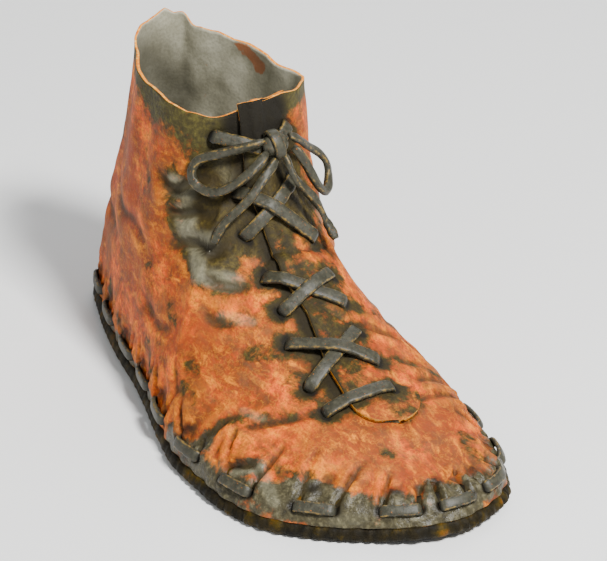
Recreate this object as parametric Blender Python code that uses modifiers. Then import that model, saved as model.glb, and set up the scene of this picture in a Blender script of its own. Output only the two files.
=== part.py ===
"""Right-foot ankle shoe of soft leather: a hide upper lapped over the instep, a turned-up sole, thong laces.

Metres, +Z up, +X to the toe, +Y to the inner side of the foot; the origin is the middle of the heel's
resting spot on the floor. Shares in the tables: x of SHOE_LENGTH from the back of the heel, y of
BALL_WIDTH from the foot's own line, z of COLLAR_HEIGHT from the floor.
"""
import math
from collections import namedtuple

import bmesh
import bpy
import numpy as np
from mathutils import Vector
from mathutils.bvhtree import BVHTree

# Driving sizes
SHOE_LENGTH = 0.290
BALL_WIDTH = 0.128
COLLAR_HEIGHT = 0.133
HEEL_TO_ORIGIN = 0.0484
WALL = 0.0022
GAP = 0.0003
RIM_GAP = 0.0005
LIP_HEIGHT = 0.0066
SOLE_THICKNESS = 0.0035
RIM_THICKNESS = 0.0022
ARCH_RISE = 0.0025
TOE_SPRING = 0.0025
INSOLE_THICKNESS = 0.0020
FLAP_THICKNESS = 0.0021
FLAP_END_RADIUS = 0.0160
THROAT_LENGTH = 0.095
THROAT_WIDTH = 0.003
THROAT_ACROSS = 0.075
STITCH_LENGTH = 0.018
STITCH_WIDTH = 0.0050
STITCH_THICKNESS = 0.0019
STITCH_HEIGHT = 0.0124
LACE_WIDTH = 0.0062
LACE_THICKNESS = 0.0021
CORD_DIAMETER = 0.0042
KNOT_WIDTH = 0.0125
KNOT_ARC = 0.066
KNOT_ACROSS = 0.030
KNOT_HEIGHT = 0.0110
KNOT_DEPTH = 0.0078
KNOT_LIFT = 0.0016

# How finely the skin is divided
COLUMNS_PER_ROW = 2
SKIN_ROWS = 9
FLOOR_STRIPS = 5

Rib = namedtuple("Rib", "foot_x foot_y top_x top_y top_z rise flare lead reach drop swell")

# One row for each rib, from the back of the heel to the toe tip. Ribs 0 to 9 end at the collar's rim and
# ribs 9 to 17 end on the ridge of the instep. rise and drop are shares of COLLAR_HEIGHT, flare and swell
# of BALL_WIDTH, lead and reach of the way from the top to the foot.
OUTER_RIBS = [
    Rib(0.000, 0.010, 0.080, 0.077, 1.066, 0.300, -0.015, 0.10, 0.10, 0.30, 0.000),
    Rib(0.015, -0.095, 0.087, -0.009, 1.048, 0.300, -0.015, 0.10, 0.10, 0.30, 0.000),
    Rib(0.050, -0.189, 0.114, -0.091, 1.033, 0.300, -0.015, 0.10, 0.10, 0.30, 0.000),
    Rib(0.114, -0.254, 0.152, -0.134, 1.013, 0.300, -0.015, 0.10, 0.10, 0.30, 0.000),
    Rib(0.190, -0.318, 0.205, -0.198, 1.003, 0.300, -0.015, 0.10, 0.10, 0.30, 0.000),
    Rib(0.273, -0.373, 0.265, -0.216, 0.995, 0.300, -0.005, 0.10, 0.10, 0.30, 0.004),
    Rib(0.357, -0.419, 0.322, -0.230, 0.993, 0.300, 0.015, 0.10, 0.10, 0.32, 0.010),
    Rib(0.417, -0.460, 0.368, -0.194, 0.985, 0.260, 0.012, 0.10, 0.12, 0.36, 0.010),
    Rib(0.478, -0.505, 0.399, -0.129, 0.975, 0.220, 0.010, 0.10, 0.16, 0.36, 0.008),
    Rib(0.539, -0.550, 0.418, -0.009, 1.013, 0.190, 0.010, 0.02, 0.24, 0.30, 0.000),
    Rib(0.607, -0.591, 0.478, -0.014, 0.694, 0.150, -0.020, 0.05, 0.22, 0.10, 0.000),
    Rib(0.683, -0.601, 0.576, -0.014, 0.484, 0.125, -0.050, 0.15, 0.26, 0.00, 0.000),
    Rib(0.759, -0.601, 0.675, -0.012, 0.357, 0.115, -0.050, 0.20, 0.31, 0.00, 0.000),
    Rib(0.832, -0.553, 0.751, -0.009, 0.291, 0.110, -0.050, 0.35, 0.40, 0.00, 0.000),
    Rib(0.895, -0.438, 0.800, -0.007, 0.253, 0.105, -0.050, 0.50, 0.46, 0.00, 0.000),
    Rib(0.948, -0.297, 0.835, -0.005, 0.225, 0.100, -0.050, 0.58, 0.50, 0.00, 0.000),
    Rib(0.986, -0.160, 0.858, -0.005, 0.207, 0.100, -0.050, 0.60, 0.56, 0.00, 0.000),
    Rib(1.000, -0.017, 0.869, -0.003, 0.198, 0.100, -0.050, 0.60, 0.60, 0.00, 0.000),
]
INNER_RIBS = [
    OUTER_RIBS[0],
    Rib(0.015, 0.112, 0.094, 0.137, 1.060, 0.300, -0.005, 0.10, 0.10, 0.30, 0.004),
    Rib(0.050, 0.203, 0.117, 0.163, 1.014, 0.300, -0.005, 0.10, 0.10, 0.30, 0.004),
    Rib(0.114, 0.275, 0.155, 0.215, 1.015, 0.300, -0.005, 0.10, 0.10, 0.30, 0.004),
    Rib(0.190, 0.301, 0.213, 0.270, 0.998, 0.300, 0.012, 0.10, 0.10, 0.30, 0.010),
    Rib(0.273, 0.292, 0.269, 0.289, 0.972, 0.300, 0.015, 0.10, 0.10, 0.30, 0.010),
    Rib(0.357, 0.282, 0.326, 0.313, 0.977, 0.300, 0.015, 0.10, 0.10, 0.32, 0.010),
    Rib(0.417, 0.292, 0.372, 0.254, 0.992, 0.280, 0.012, 0.10, 0.15, 0.36, 0.010),
    Rib(0.478, 0.309, 0.404, 0.160, 1.005, 0.250, 0.010, 0.10, 0.20, 0.36, 0.008),
    Rib(0.539, 0.330, 0.418, -0.009, 1.013, 0.220, 0.010, 0.02, 0.36, 0.30, 0.000),
    Rib(0.607, 0.352, 0.478, -0.014, 0.694, 0.180, 0.010, 0.05, 0.46, 0.10, 0.000),
    Rib(0.683, 0.373, 0.576, -0.014, 0.484, 0.150, 0.010, 0.15, 0.52, 0.00, 0.000),
    Rib(0.758, 0.378, 0.675, -0.012, 0.357, 0.140, -0.040, 0.20, 0.55, 0.00, 0.000),
    Rib(0.827, 0.352, 0.751, -0.009, 0.291, 0.130, -0.040, 0.35, 0.58, 0.00, 0.000),
    Rib(0.895, 0.306, 0.800, -0.007, 0.253, 0.120, -0.040, 0.50, 0.58, 0.00, 0.000),
    Rib(0.951, 0.229, 0.835, -0.005, 0.225, 0.110, -0.040, 0.58, 0.58, 0.00, 0.000),
    Rib(0.983, 0.115, 0.858, -0.005, 0.207, 0.100, -0.040, 0.60, 0.60, 0.00, 0.000),
    OUTER_RIBS[17],
]
LAST = len(OUTER_RIBS) - 1
COLLAR_FRONT = 9
UP = np.array([0.0, 0.0, 1.0])


def place(x, y, z=0.0):
    """A point in metres from its shares of length, width and height."""
    return np.array([x * SHOE_LENGTH - HEEL_TO_ORIGIN, y * BALL_WIDTH, z * COLLAR_HEIGHT])


def unit(vector):
    return vector / np.linalg.norm(vector)


def spline(rows, number):
    """The smooth value at a fractional row number, through every row."""
    last = len(rows) - 1
    first = max(0, min(int(math.floor(number)), last - 1))
    a = number - first
    p1, p2 = rows[first], rows[first + 1]
    p0 = rows[first - 1] if first > 0 else 2 * p1 - p2
    p3 = rows[first + 2] if first + 2 <= last else 2 * p2 - p1
    cubic = (3 * p1 - p0 - 3 * p2 + p3) * a ** 3
    return 0.5 * (2 * p1 + (p2 - p0) * a + (2 * p0 - 5 * p1 + 4 * p2 - p3) * a * a + cubic)


def rib_row(number):
    """The table's row at a whole rib number: 0 the heel, up to 17 outside, down to -17 inside, and round."""
    if number > LAST:
        number -= 2 * LAST
    if number < -LAST:
        number += 2 * LAST
    return OUTER_RIBS[number] if number >= 0 else INNER_RIBS[-number]


WRAP = 2
ROUND = range(-LAST - WRAP, LAST + WRAP + 1)
FOOT_ROWS = [place(rib_row(i).foot_x, rib_row(i).foot_y) for i in ROUND]
HANDLE_ROWS = [np.array(rib_row(i)[5:]) for i in ROUND]
RIM_ROWS = [place(*rib_row(i)[2:5]) for i in range(-COLLAR_FRONT, COLLAR_FRONT + 1)]
RIDGE_ROWS = [place(*rib_row(i)[2:5]) for i in range(COLLAR_FRONT, LAST + 1)]


def underside(x, y):
    """How far the sole's underside lifts off the floor: the arch, most on its inner side, and the toe."""
    arch_start, arch_end = place(0.33, 0)[0], place(0.57, 0)[0]
    lift = 0.0
    if arch_start < x < arch_end:
        along = (x - arch_start) / (arch_end - arch_start)
        inner = min(1.0, max(0.0, 0.5 + y / (0.6 * BALL_WIDTH)))
        lift = ARCH_RISE * math.sin(math.pi * along) ** 2 * (0.3 + 0.7 * inner)
    spring_start, toe = place(0.88, 0)[0], place(1.0, 0)[0]
    if x > spring_start:
        lift = TOE_SPRING * ((x - spring_start) / (toe - spring_start)) ** 2
    return lift


def foot(number):
    """The outline point of a rib on the floor plan, at the height of the upper's lower edge."""
    point = spline(FOOT_ROWS, number + LAST + WRAP)
    return point + UP * (LIP_HEIGHT + underside(point[0], point[1]))


def outward(number):
    """The level direction away from the foot at a rib."""
    tangent = foot(number + 0.1) - foot(number - 0.1)
    return unit(np.array([tangent[1], -tangent[0], 0.0]))


def top(number):
    """The upper end of a rib: on the collar's rim, or on the ridge of the instep."""
    if abs(number) <= COLLAR_FRONT:
        return spline(RIM_ROWS, number + COLLAR_FRONT)
    return spline(RIDGE_ROWS, abs(number) - COLLAR_FRONT)


def rib(number):
    """The four control points of a rib's curve."""
    rise, flare, lead, reach, drop, swell = spline(HANDLE_ROWS, number + LAST + WRAP)
    start, end = foot(number), top(number)
    away = outward(number)
    low = start + away * flare * BALL_WIDTH + UP * rise * COLLAR_HEIGHT
    step = np.array([lead, reach, 0.0]) * (start - end)
    if abs(number) > COLLAR_FRONT:
        ahead = top(min(abs(number) + 0.1, LAST)) - top(abs(number) - 0.1)
        step[2] = step[0] * ahead[2] / ahead[0]
    high = end + step + away * swell * BALL_WIDTH - UP * drop * COLLAR_HEIGHT
    return start, low, high, end


def on_rib(points, v):
    """The point at share v of a rib's curve."""
    a, b, c, d = points
    w = 1 - v
    return a * w ** 3 + 3 * b * v * w * w + 3 * c * v * v * w + d * v ** 3


def share_at_height(points, height):
    """The share of a rib's curve at which it first stands this much above its foot."""
    low, high = 0.0, 0.6
    for _ in range(30):
        middle = (low + high) / 2
        if on_rib(points, middle)[2] - points[0][2] < height:
            low = middle
        else:
            high = middle
    return low


def skin(number, height):
    """A point of the upper's outer face near the foot, with its outward normal and its climbing direction."""
    points = rib(number)
    v = share_at_height(points, height)
    here = on_rib(points, v)
    climb = on_rib(points, v + 0.01) - on_rib(points, max(v - 0.01, 0.0))
    before, after = rib(number - 0.05), rib(number + 0.05)
    along = on_rib(after, v) - on_rib(before, v)
    normal = unit(np.cross(along, climb))
    return here, normal if np.dot(normal, outward(number)) > 0 else -normal, unit(climb)


def columns():
    """The rib numbers of all columns, once round the foot from the toe."""
    count = LAST * COLUMNS_PER_ROW
    return [i / COLUMNS_PER_ROW for i in range(-count, count)]


EDGE_HEIGHTS = [0.0, 0.0040, 0.0080, 0.0120]


def skin_column(number):
    """The points of one column of the skin, from its foot to its top."""
    points = rib(number)
    shares = [share_at_height(points, height) for height in EDGE_HEIGHTS]
    start = shares[-1]
    shares += [start + (1 - start) * i / SKIN_ROWS for i in range(1, SKIN_ROWS + 1)]
    return [on_rib(points, v) for v in shares]


# Materials and objects
PARTS = bpy.data.collections.new("leather_shoe")
CUTTERS = bpy.data.collections.new("cutters")


def leather(name, colour, roughness):
    """A leather finish with its colour and roughness."""
    made = bpy.data.materials.new(name)
    made.use_nodes = True
    shader = made.node_tree.nodes["Principled BSDF"]
    shader.inputs["Base Color"].default_value = (*colour, 1.0)
    shader.inputs["Roughness"].default_value = roughness
    shader.inputs["Metallic"].default_value = 0.0
    return made


def add_object(name, mesh, material, collection=None):
    """A new object with its material, in the parts unless it is a cutter."""
    made = bpy.data.objects.new(name, mesh)
    made.data.materials.append(material)
    (collection or PARTS).objects.link(made)
    if collection:
        made.hide_render = True
        made.display_type = "WIRE"
    return made


def mesh_from(bm, name):
    """A finished mesh from a bmesh, its faces turned outwards."""
    bm.normal_update()
    bmesh.ops.recalc_face_normals(bm, faces=bm.faces)
    mesh = bpy.data.meshes.new(name)
    bm.to_mesh(mesh)
    bm.free()
    mesh.shade_smooth()
    return mesh


def join_rows(bm, rows, closed=False):
    """Faces between rows of vertices that hold as many each; closed joins the last row to the first."""
    pairs = list(zip(rows, rows[1:]))
    if closed:
        pairs.append((rows[-1], rows[0]))
    for one, two in pairs:
        for i in range(len(one) - 1):
            corners = []
            for corner in (one[i], two[i], two[i + 1], one[i + 1]):
                if corner not in corners:
                    corners.append(corner)
            if len(corners) > 2:
                bm.faces.new(corners)


def fill_across(bm, ring):
    """A floor between the two sides of a ring of vertices that runs once round from the toe."""
    half = len(ring) // 2
    rows = []
    for i in range(1, half):
        inner, outer = ring[half - i], ring[half + i]
        row = [inner]
        for j in range(1, FLOOR_STRIPS):
            point = inner.co.lerp(outer.co, j / FLOOR_STRIPS)
            edge_lift = underside(inner.co.x, inner.co.y)
            point.z = inner.co.z - edge_lift + underside(point.x, point.y)
            row.append(bm.verts.new(point))
        rows.append(row + [outer])
    join_rows(bm, rows)
    for end, row in ((ring[half], rows[0]), (ring[0], rows[-1])):
        for one, two in zip(row, row[1:]):
            bm.faces.new((end, one, two))


def build_upper(material):
    """The upper: the skin of ribs, open at the collar and underneath, with its wall on the inside."""
    bm = bmesh.new()
    rows = [[bm.verts.new(point) for point in skin_column(number)] for number in columns()]
    join_rows(bm, rows, closed=True)
    bmesh.ops.remove_doubles(bm, verts=bm.verts, dist=0.00005)
    upper = add_object("upper", mesh_from(bm, "upper"), material)
    wall = upper.modifiers.new("wall", "SOLIDIFY")
    wall.thickness = WALL
    wall.offset = -1
    wall.use_even_offset = True
    return upper


def tree_of(mesh):
    """A search tree of a mesh's faces."""
    faces = [tuple(face.vertices) for face in mesh.polygons]
    return BVHTree.FromPolygons([vert.co.copy() for vert in mesh.vertices], faces)


def surface_of(thing):
    """A search tree of an object as it now stands, modifiers and all."""
    graph = bpy.context.evaluated_depsgraph_get()
    mesh = bpy.data.meshes.new_from_object(thing.evaluated_get(graph))
    tree = tree_of(mesh)
    bpy.data.meshes.remove(mesh)
    return tree


RIDGE_STEPS = 160
RIDGE = [spline(RIDGE_ROWS, (LAST - COLLAR_FRONT) * i / RIDGE_STEPS) for i in range(RIDGE_STEPS + 1)]
RIDGE_ARC = [0.0]
for before, after in zip(RIDGE, RIDGE[1:]):
    RIDGE_ARC.append(RIDGE_ARC[-1] + float(np.linalg.norm(after - before)))


def on_ridge(arc):
    """The ridge's point this far down from the collar, with its direction and outward normal."""
    arc_in = min(max(arc, 0.0), RIDGE_ARC[-1])
    point = np.array([np.interp(arc_in, RIDGE_ARC, [p[i] for p in RIDGE]) for i in range(3)])
    reach = 0.006
    arcs = [min(max(arc_in + step, 0.0), RIDGE_ARC[-1]) for step in (-reach, reach)]
    ends = [np.interp(arc, RIDGE_ARC, range(len(RIDGE_ARC))) for arc in arcs]
    one, two = (spline(RIDGE, e) for e in ends)
    ahead = unit(two - one)
    normal = unit(np.cross(ahead, np.array([0.0, 1.0, 0.0])))
    normal = normal if normal[2] > 0 or normal[0] > 0.5 else -normal
    return point + ahead * (arc - arc_in), ahead, normal


BELOW_RIM = 0.009


def over_skin(tree, arc, across):
    """The outer face's point over the instep at a distance down the ridge and across it, with its normal."""
    reached = max(arc, BELOW_RIM)
    point, ahead, normal = on_ridge(reached)
    start = point + np.array([0.0, across, 0.0]) + normal * 0.03
    hit, face_normal, _, _ = tree.ray_cast(Vector(start), Vector(-normal))
    return np.array(hit) + ahead * (arc - reached), np.array(face_normal)


Lap = namedtuple("Lap", "arc outer inner free")
# The lap from the collar to its round end: distance down the ridge, its free outer edge, and its inner
# side, which is skived into the wall where free is 0 and loose where free is 1. Shares of SHOE_LENGTH,
# then of BALL_WIDTH.
LAP_ROWS = [
    Lap(-0.005, -0.050, 0.150, 0),
    Lap(0.050, -0.058, 0.150, 0),
    Lap(0.120, -0.064, 0.150, 0),
    Lap(0.200, -0.066, 0.150, 0),
    Lap(0.270, -0.064, 0.150, 0),
    Lap(0.340, -0.062, 0.150, 0),
    Lap(0.400, -0.078, 0.150, 0),
    Lap(0.455, -0.104, 0.150, 0),
    Lap(0.500, -0.120, 0.140, 0),
    Lap(0.522, -0.122, 0.126, 1),
]
LAP_ACROSS = (0.0, 0.2, 0.4, 0.6, 0.78, 1.0)
LAP_CLEAR = 0.0004
SKIVE_DEPTH = 0.0004


def lap_sections():
    """Rows of (arc, outer edge, inner edge, free), with the round end worked out from its radius."""
    rows = [(r.arc * SHOE_LENGTH, r.outer * BALL_WIDTH, r.inner * BALL_WIDTH, r.free) for r in LAP_ROWS]
    arc, outer, inner, _ = rows[-1]
    middle, half = (outer + inner) / 2, (inner - outer) / 2
    for angle in (25, 45, 62, 78):
        turn = math.radians(angle)
        rows.append((arc + FLAP_END_RADIUS * math.sin(turn), middle - half * math.cos(turn),
                     middle + half * math.cos(turn), 1))
    return rows


def build_lap(tree, material):
    """The lap of the upper: a sheet over the skin, a step in the wall that stands on its inner side."""
    bm = bmesh.new()
    low_rows, high_rows = [], []
    for arc, outer, inner, free in lap_sections():
        low, high = [], []
        for share in LAP_ACROSS:
            point, normal = over_skin(tree, arc, outer + (inner - outer) * share)
            under, over = LAP_CLEAR, LAP_CLEAR + FLAP_THICKNESS
            if not free and share == LAP_ACROSS[-2]:
                over -= 0.4 * FLAP_THICKNESS
            if not free and share == LAP_ACROSS[-1]:
                under, over = -WALL + SKIVE_DEPTH, -SKIVE_DEPTH
            low.append(bm.verts.new(point + normal * under))
            high.append(bm.verts.new(point + normal * over))
        low_rows.append(low)
        high_rows.append(high)
    join_rows(bm, low_rows)
    join_rows(bm, high_rows)
    for side in (0, -1):
        join_rows(bm, [[low[side], high[side]] for low, high in zip(low_rows, high_rows)])
    for end in (0, -1):
        join_rows(bm, [low_rows[end], high_rows[end]])
    return add_object("lap_form", mesh_from(bm, "lap_form"), material, CUTTERS)


def build_throat(material):
    """The slit that the lap covers: a narrow cutter along the ridge, through the wall."""
    bm = bmesh.new()
    rows = []
    across = THROAT_ACROSS * BALL_WIDTH
    reach = 4 * WALL
    for i in range(9):
        point, ahead, normal = on_ridge(-0.02 + (THROAT_LENGTH + 0.02) * i / 8)
        sides = [np.array([0.0, across + side * THROAT_WIDTH / 2, 0.0]) for side in (-1, 1)]
        corners = [point + sides[0] - normal * reach, point + sides[1] - normal * reach,
                   point + sides[1] + normal * reach, point + sides[0] + normal * reach]
        verts = [bm.verts.new(corner) for corner in corners]
        rows.append(verts + [verts[0]])
    join_rows(bm, rows)
    bm.faces.new(rows[0][:4])
    bm.faces.new(rows[-1][:4])
    return add_object("throat_form", mesh_from(bm, "throat_form"), material, CUTTERS)


def combine(thing, operation, other):
    """A Boolean of one object with another, left on it as a modifier."""
    step = thing.modifiers.new(operation.lower() + "_" + other.name, "BOOLEAN")
    step.operation = operation
    step.object = other
    step.solver = "EXACT"


LEDGE_CLEAR = 0.0004
LEDGE_INSET = 0.0005
# The sole's side below the upper's edge: how far in from the outline, and the height as a share of the
# upper's edge above the floor.
Side = namedtuple("Side", "inset height")
SOLE_SIDE = [
    Side(-0.0016, 0.70),
    Side(-0.0024, 0.36),
    Side(-0.0012, 0.09),
    Side(0.0016, 0.0),
]


def build_sole(material):
    """The sole: a tray of leather, turned up inside the upper's edge and rolled under it outside."""
    bm = bmesh.new()
    rows, bottom, floor = [], [], []
    for number in columns():
        edge, away = foot(number), outward(number)
        lift = underside(edge[0], edge[1])
        ground = edge - UP * (LIP_HEIGHT + lift)
        inside = WALL + RIM_GAP
        points = []
        for height in (EDGE_HEIGHTS[2], EDGE_HEIGHTS[1]):
            point, normal, _ = skin(number, height)
            points.insert(0, point - normal * (inside + RIM_THICKNESS))
            points.append(point - normal * inside)
        _, normal, climb = skin(number, EDGE_HEIGHTS[1] / 2)
        ledge = edge - climb * LEDGE_CLEAR
        points.append(ledge - normal * inside)
        points.append(ledge - normal * LEDGE_INSET)
        for side in SOLE_SIDE:
            height = side.height * LIP_HEIGHT + lift
            points.append(ground - away * side.inset + UP * height)
        start = ground - away * (inside + RIM_THICKNESS + 0.0006) + UP * (SOLE_THICKNESS + lift)
        points.insert(0, start)
        column = [bm.verts.new(point) for point in points]
        rows.append(column)
        bottom.append(column[-1])
        floor.append(column[0])
    join_rows(bm, rows, closed=True)
    fill_across(bm, bottom)
    fill_across(bm, floor)
    return add_object("sole", mesh_from(bm, "sole"), material)


def build_insole(material):
    """The insole: a flat leather sheet that lies on the sole inside its turned-up rim."""
    bm = bmesh.new()
    rings = []
    inset = WALL + RIM_THICKNESS + 2 * GAP + 0.0012
    for height in (0.0, INSOLE_THICKNESS):
        ring = []
        for number in columns():
            edge, away = foot(number), outward(number)
            lift = underside(edge[0], edge[1])
            ground = edge - UP * (LIP_HEIGHT + lift)
            point = ground - away * inset
            ring.append(bm.verts.new(point + UP * (SOLE_THICKNESS + GAP + lift + height)))
        rings.append(ring)
    join_rows(bm, [list(pair) for pair in zip(*rings)], closed=True)
    for ring in rings:
        fill_across(bm, ring)
    return add_object("insole", mesh_from(bm, "insole"), material)


def build_strap(name, centres, normals, width, thickness, material, collection=None):
    """A flat thong with rounded upper edges along its centres, thinner and narrower at its two ends."""
    bm = bmesh.new()
    rows = []
    last = len(centres) - 1
    for i, (centre, normal) in enumerate(zip(centres, normals)):
        along = unit(centres[min(i + 1, last)] - centres[max(i - 1, 0)])
        across = unit(np.cross(normal, along))
        up = unit(np.cross(along, across))
        end = 0.72 if i in (0, last) else 1.0
        half, tall = width / 2 * end, thickness * (0.6 if end < 1 else 1.0)
        section = [(-half, 0.25 * tall), (-0.7 * half, 0.0), (0.7 * half, 0.0), (half, 0.25 * tall),
                   (0.75 * half, tall), (-0.75 * half, tall)]
        ring = [bm.verts.new(centre + across * a + up * b) for a, b in section]
        rows.append(ring + [ring[0]])
    join_rows(bm, rows)
    bm.faces.new(rows[0][:-1])
    bm.faces.new(rows[-1][:-1])
    return add_object(name, mesh_from(bm, name), material, collection)


def outline_arc():
    """Running length round the outline against the rib number, from the toe round by the heel."""
    numbers = [-LAST + i / 8 for i in range(2 * LAST * 8 + 1)]
    points = [foot(number) * np.array([1.0, 1.0, 0.0]) for number in numbers]
    arc = [0.0]
    for one, two in zip(points, points[1:]):
        arc.append(arc[-1] + float(np.linalg.norm(two - one)))
    return numbers, arc


# The middle of each thong stitch, as its rib number: outside from the toe back, round the heel, and inside.
STITCHES = [17.0, 15.55, 13.9, 12.1, 10.4, 8.6, 6.9, 5.4, 4.0, 2.6, 0.7,
            -1.3, -3.0, -4.4, -5.8, -7.3, -8.9, -10.6, -12.3, -13.9, -15.4]
STITCH_CLEAR = 0.00045


def build_stitches(material):
    """The thong stitches that draw the upper to the sole, each a strap on the upper's face."""
    numbers, arc = outline_arc()
    for count, middle in enumerate(STITCHES, start=1):
        centre_arc = np.interp(middle, numbers, arc)
        centres, normals = [], []
        for share in (-0.5, -0.3, 0.0, 0.3, 0.5):
            number = np.interp((centre_arc + share * STITCH_LENGTH) % arc[-1], arc, numbers)
            point, normal, _ = skin(number, STITCH_HEIGHT - LIP_HEIGHT)
            centres.append(point + normal * STITCH_CLEAR)
            normals.append(normal)
        build_strap(f"sole_stitch_{count:02d}", centres, normals, STITCH_WIDTH, STITCH_THICKNESS, material)


Bar = namedtuple("Bar", "node arc_from across_from arc_to across_to")
# The laces over the instep, each from its hole on the outer side to its hole on the inner side: distance
# down the ridge as a share of SHOE_LENGTH, and across it of BALL_WIDTH. A cross's first bar lies under.
LACE_BARS = [
    Bar("lace_cross_top", 0.189, -0.130, 0.128, 0.106),
    Bar("lace_cross_top", 0.128, -0.107, 0.222, 0.107),
    Bar("lace_cross_middle", 0.259, -0.127, 0.343, 0.085),
    Bar("lace_cross_middle", 0.322, -0.127, 0.286, 0.097),
    Bar("lace_cross_low", 0.457, -0.195, 0.394, 0.071),
    Bar("lace_cross_low", 0.374, -0.173, 0.457, 0.073),
    Bar("lace_bar", 0.510, -0.205, 0.512, 0.052),
]
BAR_POINTS = 9
BAR_CLEAR = 0.0005
CROSS_SINK = 0.0003


def taut(heights):
    """The lowest run over these heights that only bends downwards, as a strap pulled tight lies."""
    last = len(heights) - 1
    run = list(heights)
    for i in range(1, last):
        best = heights[i]
        for a in range(i):
            for b in range(i + 1, last + 1):
                best = max(best, heights[a] + (heights[b] - heights[a]) * (i - a) / (b - a))
        run[i] = best
    return run


def bar_path(skin_tree, bar, under_tree=None):
    """The centres of a lace bar's underside, laid over the upper and over the bar beneath it."""
    arcs = np.linspace(bar.arc_from, bar.arc_to, BAR_POINTS) * SHOE_LENGTH
    acrosses = np.linspace(bar.across_from, bar.across_to, BAR_POINTS) * BALL_WIDTH
    _, _, up = on_ridge((arcs[0] + arcs[-1]) / 2)
    start, _ = over_skin(skin_tree, arcs[0], acrosses[0])
    end, _ = over_skin(skin_tree, arcs[-1], acrosses[-1])
    across = unit(np.cross(up, end - start)) * LACE_WIDTH / 2
    heights, flat = [], []
    for i in range(BAR_POINTS):
        middle = start + (end - start) * i / (BAR_POINTS - 1)
        found = []
        for side in (-1, 0, 1):
            high = middle + across * side + up * 0.03
            for tree, clear in ((skin_tree, BAR_CLEAR), (under_tree, -CROSS_SINK)):
                hit = tree.ray_cast(Vector(high), Vector(-up))[0] if tree else None
                if hit:
                    found.append(np.dot(np.array(hit) - middle, up) + clear)
        flat.append(middle)
        heights.append(max(found))
    return [point + up * height for point, height in zip(flat, taut(heights))], [up] * BAR_POINTS


def build_bars(skin_tree, material):
    """The laces that show between their holes: crosses joined where they meet, and one straight bar."""
    made = []
    for name in dict.fromkeys(bar.node for bar in LACE_BARS):
        bars = [bar for bar in LACE_BARS if bar.node == name]
        centres, normals = bar_path(skin_tree, bars[0])
        lower = build_strap(name, centres, normals, LACE_WIDTH, LACE_THICKNESS, material)
        for bar in bars[1:]:
            centres, normals = bar_path(skin_tree, bar, surface_of(lower))
            over = build_strap(name + "_over", centres, normals, LACE_WIDTH, LACE_THICKNESS, material, CUTTERS)
            combine(lower, "UNION", over)
        made.append(lower)
    return made


def build_knot(skin_tree, material):
    """The bow's knot, a rounded lump of wound lace, over the instep's ridge."""
    surface, _ = over_skin(skin_tree, KNOT_ARC * SHOE_LENGTH, KNOT_ACROSS * BALL_WIDTH)
    _, ahead, up = on_ridge(KNOT_ARC * SHOE_LENGTH)
    centre = surface + up * (KNOT_DEPTH / 2 + KNOT_LIFT)
    bm = bmesh.new()
    bmesh.ops.create_uvsphere(bm, u_segments=12, v_segments=8, radius=0.5)
    for vert in bm.verts:
        x, y, z = vert.co
        vert.co = Vector(centre + ahead * z * KNOT_HEIGHT + np.array([0.0, 1.0, 0.0]) * y * KNOT_WIDTH
                         + up * x * KNOT_DEPTH)
    return add_object("bow_knot", mesh_from(bm, "bow_knot"), material)


# The two laces that come out of the top holes and run in under the knot.
STRANDS = [
    Bar("lace_strand_outer", 0.038, -0.141, 0.068, -0.014),
    Bar("lace_strand_inner", 0.047, 0.133, 0.066, 0.074),
]


def build_strands(skin_tree, material):
    """The two top laces, from their holes to the sides of the knot."""
    made = []
    for strand in STRANDS:
        centres, normals = bar_path(skin_tree, strand)
        made.append(build_strap(strand.node, centres, normals, LACE_WIDTH, LACE_THICKNESS, material))
    return made


# The bow's routes in millimetres, chosen point by point from the knot outwards.
BOW_ROUTES = {
    "bow_loop_outer": [
        (85.4, -4, 122), (85, -8.4, 121.2), (81.3, -14.4, 119.2), (75, -21, 116), (69.5, -27.4, 113),
        (68.4, -31, 108.6), (70.6, -31.8, 103.8), (75.4, -29.6, 101), (81, -26.4, 101), (86.6, -22.4, 104.8),
        (90.2, -17.6, 109.4), (91, -11.6, 114), (89.4, -6.6, 116.6), (87.5, -4.1, 117.2)],
    "bow_loop_inner": [
        (84.6, 9.7, 121.2), (84.2, 13, 119.4), (83, 17, 116), (80.4, 23, 110.6), (79.4, 28.6, 106),
        (80.8, 31.6, 101), (83.2, 31, 96.2), (87.8, 28, 93.4), (91.6, 24, 93.4), (93.8, 19.6, 97.4),
        (93.2, 16.6, 103), (92, 14, 109), (90, 11.4, 114.4), (87.7, 9.4, 117)],
    "bow_end_outer": [
        (88.5, 0.3, 113.5), (89.8, -3.4, 110.2), (91.2, -8.6, 106.6), (92.4, -14, 101.6), (91.4, -19.4, 96.4),
        (89.6, -24.6, 91.4), (88.4, -28.8, 86.2), (89.2, -32.2, 81.2)],
    "bow_end_inner": [
        (88, 5.3, 114.4), (90.6, 5.9, 110), (92.8, 6.6, 106), (94.4, 8.6, 102), (95.4, 11.4, 98.6),
        (96.8, 14.6, 94.6), (98, 17.2, 89.6), (100, 18.6, 84.6), (103, 19.8, 80.4), (106, 20.6, 76.6)],
}
ROUTE_STEP = 2.0 * CORD_DIAMETER
HOLD_STEPS = 4
CORD_CLEAR = 0.0009


def smooth_route(points):
    """Points at even, fine steps along a smooth curve through a route's points."""
    rows = [np.array(point) / 1000 for point in points]
    dense = [spline(rows, (len(rows) - 1) * i / 200) for i in range(201)]
    arc = np.concatenate([[0.0], np.cumsum([np.linalg.norm(b - a) for a, b in zip(dense, dense[1:])])])
    count = HOLD_STEPS * max(3, round(arc[-1] / ROUTE_STEP))
    return [np.array([np.interp(arc[-1] * i / count, arc, [p[k] for p in dense]) for k in range(3)])
            for i in range(count + 1)]


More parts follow.
